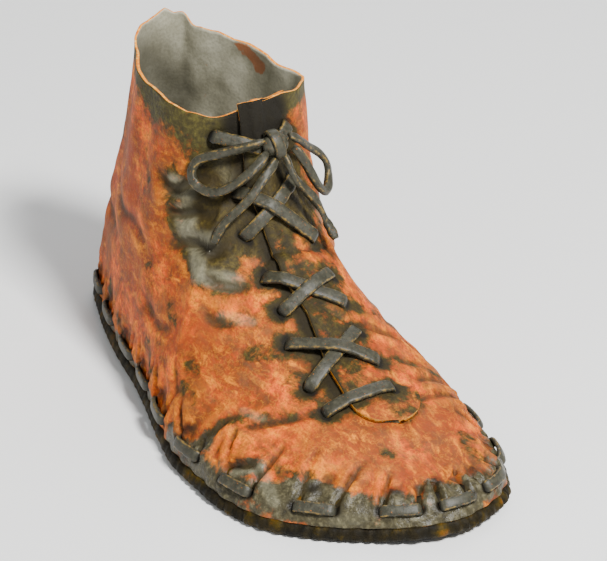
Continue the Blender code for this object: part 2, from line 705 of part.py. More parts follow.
def build_cord(name, points, material, skin_tree, trees):
    """A tube of lace along its route, held outside the skin and off what it lies on."""
    held = []
    least = CORD_DIAMETER / 2 + CORD_CLEAR
    for point in points:
        near, normal, _, _ = skin_tree.find_nearest(Vector(point))
        level = np.dot(point - np.array(near), np.array(normal))
        point = point + np.array(normal) * max(0.0, least - level)
        for tree in trees:
            near, _, _, distance = tree.find_nearest(Vector(point))
            point = point + unit(point - np.array(near)) * max(0.0, least - distance)
        held.append(point)
    held = held[::HOLD_STEPS]
    curve = bpy.data.curves.new(name, "CURVE")
    curve.dimensions = "3D"
    curve.bevel_depth = CORD_DIAMETER / 2
    curve.bevel_resolution = 2
    curve.use_fill_caps = True
    line = curve.splines.new("POLY")
    line.points.add(len(held) - 1)
    for target, point in zip(line.points, held):
        target.co = (*point, 1.0)
    curve.materials.append(material)
    made = bpy.data.objects.new(name, curve)
    PARTS.objects.link(made)


def main():
    for old in list(bpy.data.objects):
        bpy.data.objects.remove(old)
    bpy.context.scene.collection.children.link(PARTS)
    bpy.context.scene.collection.children.link(CUTTERS)
    hide = leather("mottled_hide", (0.42, 0.15, 0.06), 0.55)
    sole_leather = leather("sole_leather", (0.06, 0.045, 0.03), 0.7)
    insole_leather = leather("insole_leather", (0.16, 0.14, 0.11), 0.75)
    thong = leather("thong_leather", (0.10, 0.095, 0.065), 0.6)
    upper = build_upper(hide)
    lap = build_lap(surface_of(upper), hide)
    combine(upper, "DIFFERENCE", build_throat(hide))
    combine(upper, "UNION", lap)
    build_sole(sole_leather)
    build_insole(insole_leather)
    build_stitches(thong)
    skin_tree = surface_of(upper)
    bars = build_bars(skin_tree, thong)
    build_knot(skin_tree, thong)
    strands = build_strands(skin_tree, thong)
    trees = [skin_tree] + [surface_of(piece) for piece in bars + strands]
    for name, points in BOW_ROUTES.items():
        build_cord(name, smooth_route(points), thong, tree_of(upper.data), trees)


main()
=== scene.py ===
# %% [markdown]
# # A soft leather ankle shoe
# One right shoe of mottled hide stands empty on its sole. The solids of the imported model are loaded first:
# they fix every place and size, and each piece made here stands for one of them. The camera comes first, then
# the hide with its creases, stains and finishes, the lap, the sole, the laces, the stitches and the bow.

# %% Load the solids
import math
from collections import namedtuple

import bmesh
import bpy
import numpy as np
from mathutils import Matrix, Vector, noise
from mathutils.bvhtree import BVHTree
from mathutils.kdtree import KDTree


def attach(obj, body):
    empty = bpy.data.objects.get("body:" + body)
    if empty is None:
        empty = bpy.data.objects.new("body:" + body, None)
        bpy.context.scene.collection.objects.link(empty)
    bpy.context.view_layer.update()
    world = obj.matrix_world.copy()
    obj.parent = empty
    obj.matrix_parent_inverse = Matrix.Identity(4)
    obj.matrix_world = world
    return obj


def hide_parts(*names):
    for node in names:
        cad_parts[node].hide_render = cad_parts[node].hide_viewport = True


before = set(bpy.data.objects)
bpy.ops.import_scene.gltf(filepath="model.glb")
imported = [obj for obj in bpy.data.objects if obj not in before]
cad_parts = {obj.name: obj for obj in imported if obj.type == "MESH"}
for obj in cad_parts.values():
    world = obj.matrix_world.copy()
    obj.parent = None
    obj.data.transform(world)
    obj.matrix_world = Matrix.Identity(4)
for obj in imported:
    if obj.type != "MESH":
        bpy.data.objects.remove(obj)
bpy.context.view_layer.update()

# %% [markdown]
# ## The camera
# The photograph is taken from the toe's outer side, about 27 degrees above the floor and from some way off
# with a long lens, so that the shoe shows little perspective. The camera stands there and looks at the
# middle of the shoe.

# %% Camera
CAMERA_PLACE = Vector((1.274, -0.727, 0.767))
CAMERA_AIM = Vector((0.0995, 0.0076, 0.0565))
LENS = 207.3

camera_data = bpy.data.cameras.new("camera")
camera_data.lens = LENS
camera_data.sensor_width = 36
camera_data.clip_end = 10
camera = bpy.data.objects.new("camera", camera_data)
bpy.context.scene.collection.objects.link(camera)
camera.location = CAMERA_PLACE
camera.rotation_mode = "QUATERNION"
camera.rotation_quaternion = (CAMERA_AIM - CAMERA_PLACE).to_track_quat("-Z", "Y")
bpy.context.scene.camera = camera
print("camera stands off by", round((CAMERA_AIM - CAMERA_PLACE).length, 3), "m")

# %% [markdown]
# ## Sizes and the ribs of the last
# The shoe's form is kept as a table of ribs, as a boat's is: each rib is one curve up the shoe's side from
# its edge to the collar or to the ridge of the instep. These are the same rows that shape the solids, so the
# hide made here lies where the solid lies, and can then be divided finely enough to crease.

# %% Driving sizes
SHOE_LENGTH = 0.290
BALL_WIDTH = 0.128
COLLAR_HEIGHT = 0.133
HEEL_TO_ORIGIN = 0.0484
WALL = 0.0022
LIP_HEIGHT = 0.0066
SOLE_THICKNESS = 0.0035
ARCH_RISE = 0.0025
TOE_SPRING = 0.0025
FLAP_THICKNESS = 0.0021
FLAP_END_RADIUS = 0.0160
STITCH_LENGTH = 0.018
STITCH_WIDTH = 0.0050
STITCH_THICKNESS = 0.0019
STITCH_HEIGHT = 0.0124
LACE_WIDTH = 0.0062
LACE_THICKNESS = 0.0021
CORD_DIAMETER = 0.0042
MM = 0.001

Rib = namedtuple("Rib", "foot_x foot_y top_x top_y top_z rise flare lead reach drop swell")

# One row for each rib, from the back of the heel to the toe tip. Ribs 0 to 9 end at the collar's rim and
# ribs 9 to 17 end on the ridge of the instep. rise and drop are shares of COLLAR_HEIGHT, flare and swell
# of BALL_WIDTH, lead and reach of the way from the top to the foot.
OUTER_RIBS = [
    Rib(0.000, 0.010, 0.080, 0.077, 1.066, 0.300, -0.015, 0.10, 0.10, 0.30, 0.000),
    Rib(0.015, -0.095, 0.087, -0.009, 1.048, 0.300, -0.015, 0.10, 0.10, 0.30, 0.000),
    Rib(0.050, -0.189, 0.114, -0.091, 1.033, 0.300, -0.015, 0.10, 0.10, 0.30, 0.000),
    Rib(0.114, -0.254, 0.152, -0.134, 1.013, 0.300, -0.015, 0.10, 0.10, 0.30, 0.000),
    Rib(0.190, -0.318, 0.205, -0.198, 1.003, 0.300, -0.015, 0.10, 0.10, 0.30, 0.000),
    Rib(0.273, -0.373, 0.265, -0.216, 0.995, 0.300, -0.005, 0.10, 0.10, 0.30, 0.004),
    Rib(0.357, -0.419, 0.322, -0.230, 0.993, 0.300, 0.015, 0.10, 0.10, 0.32, 0.010),
    Rib(0.417, -0.460, 0.368, -0.194, 0.985, 0.260, 0.012, 0.10, 0.12, 0.36, 0.010),
    Rib(0.478, -0.505, 0.399, -0.129, 0.975, 0.220, 0.010, 0.10, 0.16, 0.36, 0.008),
    Rib(0.539, -0.550, 0.418, -0.009, 1.013, 0.190, 0.010, 0.02, 0.24, 0.30, 0.000),
    Rib(0.607, -0.591, 0.478, -0.014, 0.694, 0.150, -0.020, 0.05, 0.22, 0.10, 0.000),
    Rib(0.683, -0.601, 0.576, -0.014, 0.484, 0.125, -0.050, 0.15, 0.26, 0.00, 0.000),
    Rib(0.759, -0.601, 0.675, -0.012, 0.357, 0.115, -0.050, 0.20, 0.31, 0.00, 0.000),
    Rib(0.832, -0.553, 0.751, -0.009, 0.291, 0.110, -0.050, 0.35, 0.40, 0.00, 0.000),
    Rib(0.895, -0.438, 0.800, -0.007, 0.253, 0.105, -0.050, 0.50, 0.46, 0.00, 0.000),
    Rib(0.948, -0.297, 0.835, -0.005, 0.225, 0.100, -0.050, 0.58, 0.50, 0.00, 0.000),
    Rib(0.986, -0.160, 0.858, -0.005, 0.207, 0.100, -0.050, 0.60, 0.56, 0.00, 0.000),
    Rib(1.000, -0.017, 0.869, -0.003, 0.198, 0.100, -0.050, 0.60, 0.60, 0.00, 0.000),
]
INNER_RIBS = [
    OUTER_RIBS[0],
    Rib(0.015, 0.112, 0.094, 0.137, 1.060, 0.300, -0.005, 0.10, 0.10, 0.30, 0.004),
    Rib(0.050, 0.203, 0.117, 0.163, 1.014, 0.300, -0.005, 0.10, 0.10, 0.30, 0.004),
    Rib(0.114, 0.275, 0.155, 0.215, 1.015, 0.300, -0.005, 0.10, 0.10, 0.30, 0.004),
    Rib(0.190, 0.301, 0.213, 0.270, 0.998, 0.300, 0.012, 0.10, 0.10, 0.30, 0.010),
    Rib(0.273, 0.292, 0.269, 0.289, 0.972, 0.300, 0.015, 0.10, 0.10, 0.30, 0.010),
    Rib(0.357, 0.282, 0.326, 0.313, 0.977, 0.300, 0.015, 0.10, 0.10, 0.32, 0.010),
    Rib(0.417, 0.292, 0.372, 0.254, 0.992, 0.280, 0.012, 0.10, 0.15, 0.36, 0.010),
    Rib(0.478, 0.309, 0.404, 0.160, 1.005, 0.250, 0.010, 0.10, 0.20, 0.36, 0.008),
    Rib(0.539, 0.330, 0.418, -0.009, 1.013, 0.220, 0.010, 0.02, 0.36, 0.30, 0.000),
    Rib(0.607, 0.352, 0.478, -0.014, 0.694, 0.180, 0.010, 0.05, 0.46, 0.10, 0.000),
    Rib(0.683, 0.373, 0.576, -0.014, 0.484, 0.150, 0.010, 0.15, 0.52, 0.00, 0.000),
    Rib(0.758, 0.378, 0.675, -0.012, 0.357, 0.140, -0.040, 0.20, 0.55, 0.00, 0.000),
    Rib(0.827, 0.352, 0.751, -0.009, 0.291, 0.130, -0.040, 0.35, 0.58, 0.00, 0.000),
    Rib(0.895, 0.306, 0.800, -0.007, 0.253, 0.120, -0.040, 0.50, 0.58, 0.00, 0.000),
    Rib(0.951, 0.229, 0.835, -0.005, 0.225, 0.110, -0.040, 0.58, 0.58, 0.00, 0.000),
    Rib(0.983, 0.115, 0.858, -0.005, 0.207, 0.100, -0.040, 0.60, 0.60, 0.00, 0.000),
    OUTER_RIBS[17],
]
LAST = len(OUTER_RIBS) - 1
COLLAR_FRONT = 9
UP, ACROSS = np.array([0.0, 0.0, 1.0]), np.array([0.0, 1.0, 0.0])
print("ribs:", len(OUTER_RIBS) + len(INNER_RIBS) - 2)

# %% [markdown]
# A smooth curve goes through the rows of a table, so any place round the shoe has a rib, not only the ones
# that are written down. Rib 0 is the heel's back, 17 the toe by way of the outer side, -17 by the inner side.

# %% Read a rib anywhere round the shoe
def place(x, y, z=0.0):
    """A point in metres from its shares of length, width and height."""
    return np.array([x * SHOE_LENGTH - HEEL_TO_ORIGIN, y * BALL_WIDTH, z * COLLAR_HEIGHT])


def unit(vector):
    """The vector at length 1."""
    return vector / np.linalg.norm(vector)


def spline(rows, number):
    """The smooth value at a fractional row number, through every row."""
    last = len(rows) - 1
    first = max(0, min(int(math.floor(number)), last - 1))
    a = number - first
    p1, p2 = rows[first], rows[first + 1]
    p0 = rows[first - 1] if first > 0 else 2 * p1 - p2
    p3 = rows[first + 2] if first + 2 <= last else 2 * p2 - p1
    cubic = (3 * p1 - p0 - 3 * p2 + p3) * a ** 3
    return 0.5 * (2 * p1 + (p2 - p0) * a + (2 * p0 - 5 * p1 + 4 * p2 - p3) * a * a + cubic)


def rib_row(number):
    """The table's row at a whole rib number, going round past the toe."""
    if number > LAST:
        number -= 2 * LAST
    if number < -LAST:
        number += 2 * LAST
    return OUTER_RIBS[number] if number >= 0 else INNER_RIBS[-number]


WRAP = 2
ROUND = range(-LAST - WRAP, LAST + WRAP + 1)
FOOT_ROWS = [place(rib_row(i).foot_x, rib_row(i).foot_y) for i in ROUND]
HANDLE_ROWS = [np.array(rib_row(i)[5:]) for i in ROUND]
RIM_ROWS = [place(*rib_row(i)[2:5]) for i in range(-COLLAR_FRONT, COLLAR_FRONT + 1)]
RIDGE_ROWS = [place(*rib_row(i)[2:5]) for i in range(COLLAR_FRONT, LAST + 1)]


def underside(x, y):
    """How far the sole's underside lifts off the floor: the arch, most on its inner side, and the toe."""
    arch_start, arch_end = place(0.33, 0)[0], place(0.57, 0)[0]
    lift = 0.0
    if arch_start < x < arch_end:
        along = (x - arch_start) / (arch_end - arch_start)
        inner = min(1.0, max(0.0, 0.5 + y / (0.6 * BALL_WIDTH)))
        lift = ARCH_RISE * math.sin(math.pi * along) ** 2 * (0.3 + 0.7 * inner)
    spring_start, toe = place(0.88, 0)[0], place(1.0, 0)[0]
    if x > spring_start:
        lift = TOE_SPRING * ((x - spring_start) / (toe - spring_start)) ** 2
    return lift


def foot(number):
    """The outline point of a rib on the floor plan, at the height of the hide's lower edge."""
    point = spline(FOOT_ROWS, number + LAST + WRAP)
    return point + UP * (LIP_HEIGHT + underside(point[0], point[1]))


def outward(number):
    """The level direction away from the foot at a rib."""
    tangent = foot(number + 0.1) - foot(number - 0.1)
    return unit(np.array([tangent[1], -tangent[0], 0.0]))


def top(number):
    """The upper end of a rib: on the collar's rim, or on the ridge of the instep."""
    if abs(number) <= COLLAR_FRONT:
        return spline(RIM_ROWS, number + COLLAR_FRONT)
    return spline(RIDGE_ROWS, abs(number) - COLLAR_FRONT)


def rib(number):
    """The four control points of a rib's curve."""
    rise, flare, lead, reach, drop, swell = spline(HANDLE_ROWS, number + LAST + WRAP)
    start, end = foot(number), top(number)
    away = outward(number)
    low = start + away * flare * BALL_WIDTH + UP * rise * COLLAR_HEIGHT
    step = np.array([lead, reach, 0.0]) * (start - end)
    if abs(number) > COLLAR_FRONT:
        ahead = top(min(abs(number) + 0.1, LAST)) - top(abs(number) - 0.1)
        step[2] = step[0] * ahead[2] / ahead[0]
    high = end + step + away * swell * BALL_WIDTH - UP * drop * COLLAR_HEIGHT
    return start, low, high, end


print("toe's edge:", np.round(foot(17) / MM), "heel's edge:", np.round(foot(0) / MM))

# %% [markdown]
# ## Laying a sheet
# Most pieces here are sheets: the hide, the lap, the sole's edge, and even a thong, which is a long narrow
# sheet rolled round. Each starts as Blender's own grid, and every vertex is moved to its place.

# %% Sheets from a grid
def finished(bm, name):
    """A smooth mesh from a bmesh, its faces outward."""
    bm.normal_update()
    bmesh.ops.recalc_face_normals(bm, faces=bm.faces)
    mesh = bpy.data.meshes.new(name)
    bm.to_mesh(mesh)
    bm.free()
    mesh.shade_smooth()
    return mesh


def sheet(name, points, values=None, roll=False, caps=False):
    """A mesh from a grid of places; values names numbers to keep on its points; roll joins its long sides."""
    bm = bmesh.new()
    wide, tall = points.shape[0] - 1, points.shape[1] - 1
    bmesh.ops.create_grid(bm, x_segments=wide, y_segments=tall, size=0.5)
    layers = {key: bm.verts.layers.float.new(key) for key in (values or {})}
    for vert in bm.verts:
        i, j = round((vert.co.x + 0.5) * wide), round((vert.co.y + 0.5) * tall)
        vert.co = points[i, j]
        for key, layer in layers.items():
            vert[layer] = values[key][i, j]
    if roll:
        bmesh.ops.remove_doubles(bm, verts=bm.verts, dist=0.02 * MM)
    if caps:
        bmesh.ops.holes_fill(bm, edges=bm.edges, sides=0)
    return finished(bm, name)


def show(name, mesh, *materials):
    """An object for a mesh, with its materials, that rides on the shoe's one body."""
    made = bpy.data.objects.new(name, mesh)
    bpy.context.scene.collection.objects.link(made)
    for material in materials:
        made.data.materials.append(material)
    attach(made, "root")
    return made


def search_tree(*meshes):
    """One search tree over several meshes."""
    places, faces = [], []
    for mesh in meshes:
        faces += [tuple(i + len(places) for i in face.vertices) for face in mesh.polygons]
        places += [vert.co.copy() for vert in mesh.vertices]
    return BVHTree.FromPolygons(places, faces)


print("sheets, objects and search trees can be made now")

# %% [markdown]
# The ridge of the instep runs from the collar's front to the toe. The lap and the laces are placed by how far
# down the ridge they are and how far across it.

# %% Down the ridge of the instep
RIDGE_STEPS = 160
RIDGE = [spline(RIDGE_ROWS, (LAST - COLLAR_FRONT) * i / RIDGE_STEPS) for i in range(RIDGE_STEPS + 1)]
RIDGE_ARC = [0.0]
for before, after in zip(RIDGE, RIDGE[1:]):
    RIDGE_ARC.append(RIDGE_ARC[-1] + float(np.linalg.norm(after - before)))


def on_ridge(arc):
    """The ridge's point this far down from the collar, with its direction and outward normal."""
    arc_in = min(max(arc, 0.0), RIDGE_ARC[-1])
    point = np.array([np.interp(arc_in, RIDGE_ARC, [p[i] for p in RIDGE]) for i in range(3)])
    reach = 0.006
    arcs = [min(max(arc_in + step, 0.0), RIDGE_ARC[-1]) for step in (-reach, reach)]
    ends = [np.interp(arc, RIDGE_ARC, range(len(RIDGE_ARC))) for arc in arcs]
    one, two = (spline(RIDGE, e) for e in ends)
    ahead = unit(two - one)
    normal = unit(np.cross(ahead, ACROSS))
    normal = normal if normal[2] > 0 or normal[0] > 0.5 else -normal
    return point + ahead * (arc - arc_in), ahead, normal


BELOW_RIM = 0.009
print("ridge:", round(RIDGE_ARC[-1], 3), "m long")

# %% [markdown]
# ## The hide, laid on the ribs
# The upper is one soft hide. Its sheet runs once round the shoe and from the lower edge up to the collar or
# the ridge, with a point about every millimetre and a half, so that creases can be pressed into it.

# %% Lay the hide
COLUMNS, ROWS = 420, 92
NUMBERS = np.linspace(-LAST, LAST, COLUMNS + 1)
SHARES = np.linspace(0.0, 1.0, ROWS + 1) ** 1.12


def laid_on_ribs(numbers, shares):
    """Places on the ribs: one row of the result for each rib number, one column for each share."""
    v = np.asarray(shares)[:, None]
    w = 1 - v
    laid = []
    for number in numbers:
        a, b, c, d = rib(number)
        laid.append(a * w ** 3 + 3 * b * v * w * w + 3 * c * v * v * w + d * v ** 3)
    return np.array(laid)


def outward_normals(laid):
    """The outward direction at every point of the laid hide."""
    along = np.gradient(laid, axis=0)
    along[0] = along[-1] = laid[1] - laid[-2]
    normals = np.cross(along, np.gradient(laid, axis=1))
    normals /= np.maximum(np.linalg.norm(normals, axis=2, keepdims=True), 1e-12)
    return normals


HIDE = laid_on_ribs(NUMBERS, SHARES)
NORMALS = outward_normals(HIDE)
print("points:", HIDE.shape[:2], "outward at the heel:", np.round(NORMALS[COLUMNS // 2, 40], 2))

# %% [markdown]
# ## Creases
# Leather that has been worn keeps its folds. Each is drawn as a line of places on the ribs, with a depth and
# a width; a depth below zero is a raised fold. The press fades at both ends of the line, and pushes up a low
# ridge beside each trough, as a real crease does.

# %% Press a line into the hide
CREASE_PRESS = 1.45
# Points farther than this from a line aren't measured: they count as far away.
LINE_REACH, FAR = 0.03, 1.0


def place_on_hide(number, share):
    """The hide's place before its creases, at a rib and a share of it."""
    return laid_on_ribs([number], [share])[0, 0]


def drawn_line(places, steps=10):
    """Points along the line through some (rib, share) places, smooth between them."""
    rows = [place_on_hide(*spot) for spot in places]
    return np.array([spline(rows, (len(rows) - 1) * i / steps) for i in range(steps + 1)])


def distance_to_line(points, line):
    """How far each point is from a line, and how far along the line its nearest place is, 0 to 1."""
    flat = points.reshape(-1, 3)
    best, share = np.full(len(flat), FAR), np.zeros(len(flat))
    middle = line.mean(axis=0)
    near = np.linalg.norm(flat - middle, axis=1) < np.linalg.norm(line - middle, axis=1).max() + LINE_REACH
    close, kept, kept_share = flat[near], best[near], share[near]
    for i, (a, b) in enumerate(zip(line, line[1:])):
        t = np.clip((close - a) @ (b - a) / max((b - a) @ (b - a), 1e-12), 0, 1)
        distance = np.linalg.norm(close - a - t[:, None] * (b - a), axis=1)
        nearer = distance < kept
        kept[nearer] = distance[nearer]
        kept_share[nearer] = (i + t[nearer]) / (len(line) - 1)
    best[near], share[near] = kept, kept_share
    return best.reshape(points.shape[:2]), share.reshape(points.shape[:2])


def press(push, places, depth, width):
    """Adds one crease to the push, in metres, that every point of the hide gets along its normal."""
    distance, share = distance_to_line(HIDE, drawn_line(places))
    fade = np.clip(4 * share, 0, 1) * np.clip(4 * (1 - share), 0, 1)
    trough = np.exp(-(distance / (width * MM)) ** 2)
    ridge = np.exp(-((distance - 2.0 * width * MM) / (1.2 * width * MM)) ** 2)
    push -= CREASE_PRESS * depth * MM * (trough - 0.45 * ridge) * (0.25 + 0.75 * fade)


def dent(push, number, share, depth, radius):
    """A round soft hollow at one place of the hide, or a swelling where the depth is below zero."""
    distance = np.linalg.norm(HIDE - place_on_hide(number, share), axis=2)
    push -= depth * MM * np.exp(-(distance / (radius * MM)) ** 2)


# %% [markdown]
# The table of creases: the folds over the outer quarter, the flex folds behind the toe, and the short ones
# between the laces. The hollows are the broad soft dips and swellings between them. A crease's row ends with
# its depth and width, a hollow's with its depth and radius, in millimetres.

# %% Table of creases and hollows
CREASES = [
    ([(6.0, 0.74), (6.7, 0.73), (7.4, 0.79), (8.2, 0.81)], 2.2, 3.0),
    ([(6.6, 0.67), (7.2, 0.68), (7.8, 0.71), (8.7, 0.68)], 2.5, 2.8),
    ([(7.2, 0.58), (8.2, 0.62), (9.2, 0.61), (9.5, 0.68)], 2.1, 2.8),
    ([(9.0, 0.55), (9.6, 0.58), (10.0, 0.64), (10.3, 0.70)], 1.2, 2.8),
    ([(9.5, 0.49), (9.9, 0.51), (10.2, 0.55), (10.6, 0.63)], 0.8, 2.6),
    ([(10.6, 0.14), (10.7, 0.18), (10.9, 0.26), (11.1, 0.33), (11.4, 0.40)], 0.9, 2.6),
    ([(11.1, 0.27), (11.5, 0.35), (11.9, 0.44), (12.2, 0.52), (12.5, 0.60), (12.6, 0.72)], 0.7, 2.8),
    ([(11.4, 0.14), (11.2, 0.22), (11.3, 0.28), (11.6, 0.32)], 0.6, 2.2),
    ([(11.6, 0.13), (11.9, 0.23), (12.3, 0.30)], 0.9, 2.0),
    ([(10.2, 0.76), (10.3, 0.85), (10.5, 0.97), (-10.5, 0.90), (-9.9, 0.65), (-9.5, 0.50)], 1.2, 2.2),
    ([(10.3, 0.80), (10.4, 0.88), (-10.6, 0.97)], 0.8, 1.7),
    ([(10.1, 0.88), (-10.3, 0.96), (-10.1, 0.80), (-9.8, 0.62)], 0.8, 1.9),
    ([(11.3, 0.95), (-11.6, 0.90), (-11.5, 0.79), (-11.5, 0.70), (-11.4, 0.58)], 1.3, 2.2),
    ([(-12.0, 0.72), (-12.1, 0.62), (-11.6, 0.42)], 0.5, 2.2),
    ([(-12.7, 0.72), (-12.5, 0.59), (-12.2, 0.41), (-11.8, 0.27)], 0.6, 2.3),
    ([(-13.3, 0.74), (-12.9, 0.54), (-12.7, 0.42), (-12.2, 0.26)], 0.9, 2.2),
    ([(2.8, 0.52), (4.0, 0.47), (5.2, 0.50), (6.2, 0.47)], 0.7, 3.5),
    ([(1.2, 0.38), (2.6, 0.35), (4.2, 0.36)], 0.7, 3.8),
    ([(5.8, 0.33), (7.2, 0.31), (8.6, 0.36)], 0.7, 3.5),
    ([(8.8, 0.30), (9.4, 0.24), (9.9, 0.27)], 0.6, 2.4),
    ([(-2.0, 0.50), (-4.0, 0.46), (-6.0, 0.50)], 1.0, 3.5),
    ([(-5.0, 0.62), (-6.8, 0.64), (-8.2, 0.72)], 1.2, 3.2),
    ([(-6.0, 0.36), (-7.8, 0.40), (-9.2, 0.50)], 1.1, 3.2),
    ([(-9.0, 0.34), (-10.0, 0.38), (-10.8, 0.50)], 1.0, 2.8),
    ([(-11.0, 0.20), (-11.3, 0.34), (-11.2, 0.48)], 0.9, 2.5),
    ([(13.2, 0.34), (14.4, 0.44), (15.6, 0.46)], 0.5, 3.0),
]
HOLLOWS = [
    (9.0, 0.72, 1.6, 12), (8.0, 0.66, -1.2, 9), (7.9, 0.76, -1.2, 8), (9.6, 0.53, -0.9, 9),
    (10.4, 0.60, -0.8, 7), (9.4, 0.85, 1.2, 7), (-9.4, 0.88, 1.2, 7), (10.3, 0.93, 1.2, 6),
    (11.0, 0.98, 1.2, 6), (12.0, 0.36, -0.9, 10), (13.6, 0.55, -1.2, 16), (4.5, 0.30, -1.0, 18),
    (6.5, 0.24, 0.9, 12), (2.0, 0.62, 0.8, 15), (10.2, 0.30, -0.8, 10), (-12.8, 0.50, -1.0, 9),
    (-8.0, 0.50, -1.2, 14), (-4.0, 0.34, -1.0, 16), (14.0, 0.20, -0.6, 8), (15.2, 0.20, -0.6, 8),
]
# The collar was cut by hand: small steps up and down along its rim, in millimetres.
RIM_CUTS = [(0.0, 1.4), (-0.5, -1.4), (1.4, 1.1), (2.6, -1.0), (3.6, 0.9), (4.6, -1.0), (5.6, 0.7),
            (6.8, -0.8), (-2.2, 1.1), (-3.4, -1.2), (-4.6, 1.0), (-6.0, -1.0), (-7.2, 0.9), (-8.3, 1.1)]
print("creases:", len(CREASES), "hollows:", len(HOLLOWS))

# %% Press the creases
PUSH = np.zeros(HIDE.shape[:2])
for places, depth, width in CREASES:
    press(PUSH, places, depth, width)
for number, share, depth, radius in HOLLOWS:
    dent(PUSH, number, share, depth, radius)
print("deepest and highest, mm:", round(PUSH.min() / MM, 2), round(PUSH.max() / MM, 2))

# %% [markdown]
# ## Pleats at the stitches
# Each thong stitch draws the hide to the sole. The hide dips where the thong goes in, a small pocket forms
# over the stitch, folds fan up from its two ends, and the edge swells between one stitch and the next.

# %% Where the stitches are
STITCHES = [17.0, 15.55, 13.9, 12.1, 10.4, 8.6, 6.9, 5.4, 4.0, 2.6, 0.7,
            -1.3, -3.0, -4.4, -5.8, -7.3, -8.9, -10.6, -12.3, -13.9, -15.4]
STITCH_GAP = 0.015
EDGE_WAVE_HEIGHT, EDGE_WAVE_LENGTH = 0.0005, 0.0117
# The folds that fan up from each end of a stitch: lean, how much the lean wanders, reach and depth, in mm.
FAN = ((5.0, 2.2, 20, 1.5), (0.5, 0.0, 17, 1.1), (-4.0, 0.0, 13, 1.0))


def outline_run():
    """Running length round the outline against the rib number."""
    numbers = np.linspace(-LAST, LAST, 273)
    places = np.array([foot(number) * [1, 1, 0] for number in numbers])
    steps = np.linalg.norm(np.diff(places, axis=0), axis=1)
    return numbers, np.concatenate([[0.0], np.cumsum(steps)])


RUN_NUMBERS, RUN = outline_run()


def along_edge(number, distance):
    """The rib number some metres along the edge from another."""
    run = np.interp(number, RUN_NUMBERS, RUN) + distance
    return np.interp(run % RUN[-1], RUN, RUN_NUMBERS)


def share_at(number, height):
    """The share of a rib at which it first stands this much above its foot."""
    shares = np.linspace(0, 0.6, 61)
    heights = laid_on_ribs([number], shares)[0, :, 2]
    return float(np.interp(height, heights - heights[0], shares))


def hole_share(number):
    """The share of a rib at which the stitch's holes lie."""
    return share_at(number, STITCH_HEIGHT - LIP_HEIGHT)


def pull_pleats(push):
    """Dips, pockets and fans of folds round every stitch, deeper round the toe, where more was drawn in."""
    for count, number in enumerate(STITCHES):
        deep = 1.0 if number > 7 or number < -14 else 0.6
        low = hole_share(number)
        dent(push, number, share_at(number, 0.0125), 1.5 * deep, 6.0)
        for side in (-1, 1):
            end = along_edge(number, side * 0.47 * STITCH_LENGTH)
            dent(push, end, low, 1.3 * deep, 2.6)
            for lean, wander, reach, depth in FAN:
                lean += wander * math.sin(5.1 * count + side)
                tip, halfway = along_edge(end, side * lean * MM), along_edge(end, side * lean * 0.4 * MM)
                way = [(end, low), (halfway, share_at(end, 0.011)), (tip, share_at(tip, reach * MM))]
                press(push, way, depth * deep, 1.3)
        gap = along_edge(number, 0.5 * (STITCH_LENGTH + STITCH_GAP))
        dent(push, gap, share_at(gap, 0.006), -0.9 * deep, 5.0)


pull_pleats(PUSH)
edge_wave = np.sin(np.interp(NUMBERS, RUN_NUMBERS, RUN) * 2 * math.pi / EDGE_WAVE_LENGTH)
PUSH += EDGE_WAVE_HEIGHT * edge_wave[:, None] * np.clip(1 - SHARES / 0.05, 0, 1)[None, :]
print("stitches:", len(STITCHES), "push now, mm:", round(PUSH.min() / MM, 2), round(PUSH.max() / MM, 2))

# %% [markdown]
# The laces pull the hide in at their holes. Their table comes here, because the holes are pressed into the
# hide before it gets its wall.

# %% Table of laces
Bar = namedtuple("Bar", "node arc_from across_from arc_to across_to")
LACE_BARS = [
    Bar("lace_cross_top", 0.189, -0.130, 0.128, 0.106),
    Bar("lace_cross_top", 0.128, -0.107, 0.222, 0.107),
    Bar("lace_cross_middle", 0.259, -0.127, 0.343, 0.085),
    Bar("lace_cross_middle", 0.322, -0.127, 0.286, 0.097),
    Bar("lace_cross_low", 0.457, -0.195, 0.394, 0.071),
    Bar("lace_cross_low", 0.374, -0.173, 0.457, 0.073),
    Bar("lace_bar", 0.510, -0.205, 0.512, 0.052),
]
print("bars:", len(LACE_BARS))

# %% Routes of the bow
# The middle line of each loop and end, from the knot on, in millimetres.
BOW_ROUTES = {
    "bow_loop_outer": [
        (85.4, -4, 122), (85, -8.4, 121.2), (81.3, -14.4, 119.2), (75, -21, 116), (69.5, -27.4, 113),
        (68.4, -31, 108.6), (70.6, -31.8, 103.8), (75.4, -29.6, 101), (81, -26.4, 101), (86.6, -22.4, 104.8),
        (90.2, -17.6, 109.4), (91, -11.6, 114), (89.4, -6.6, 116.6), (87.5, -4.1, 117.2)],
    "bow_loop_inner": [
        (84.6, 9.7, 121.2), (84.2, 13, 119.4), (83, 17, 116), (80.4, 23, 110.6), (79.4, 28.6, 106),
        (80.8, 31.6, 101), (83.2, 31, 96.2), (87.8, 28, 93.4), (91.6, 24, 93.4), (93.8, 19.6, 97.4),
        (93.2, 16.6, 103), (92, 14, 109), (90, 11.4, 114.4), (87.7, 9.4, 117)],
    "bow_end_outer": [
        (88.5, 0.3, 113.5), (89.8, -3.4, 110.2), (91.2, -8.6, 106.6), (92.4, -14, 101.6), (91.4, -19.4, 96.4),
        (89.6, -24.6, 91.4), (88.4, -28.8, 86.2), (89.2, -32.2, 81.2)],
    "bow_end_inner": [
        (88, 5.3, 114.4), (90.6, 5.9, 110), (92.8, 6.6, 106), (94.4, 8.6, 102), (95.4, 11.4, 98.6),
        (96.8, 14.6, 94.6), (98, 17.2, 89.6), (100, 18.6, 84.6), (103, 19.8, 80.4), (106, 20.6, 76.6)],
}
print("routes:", list(BOW_ROUTES))

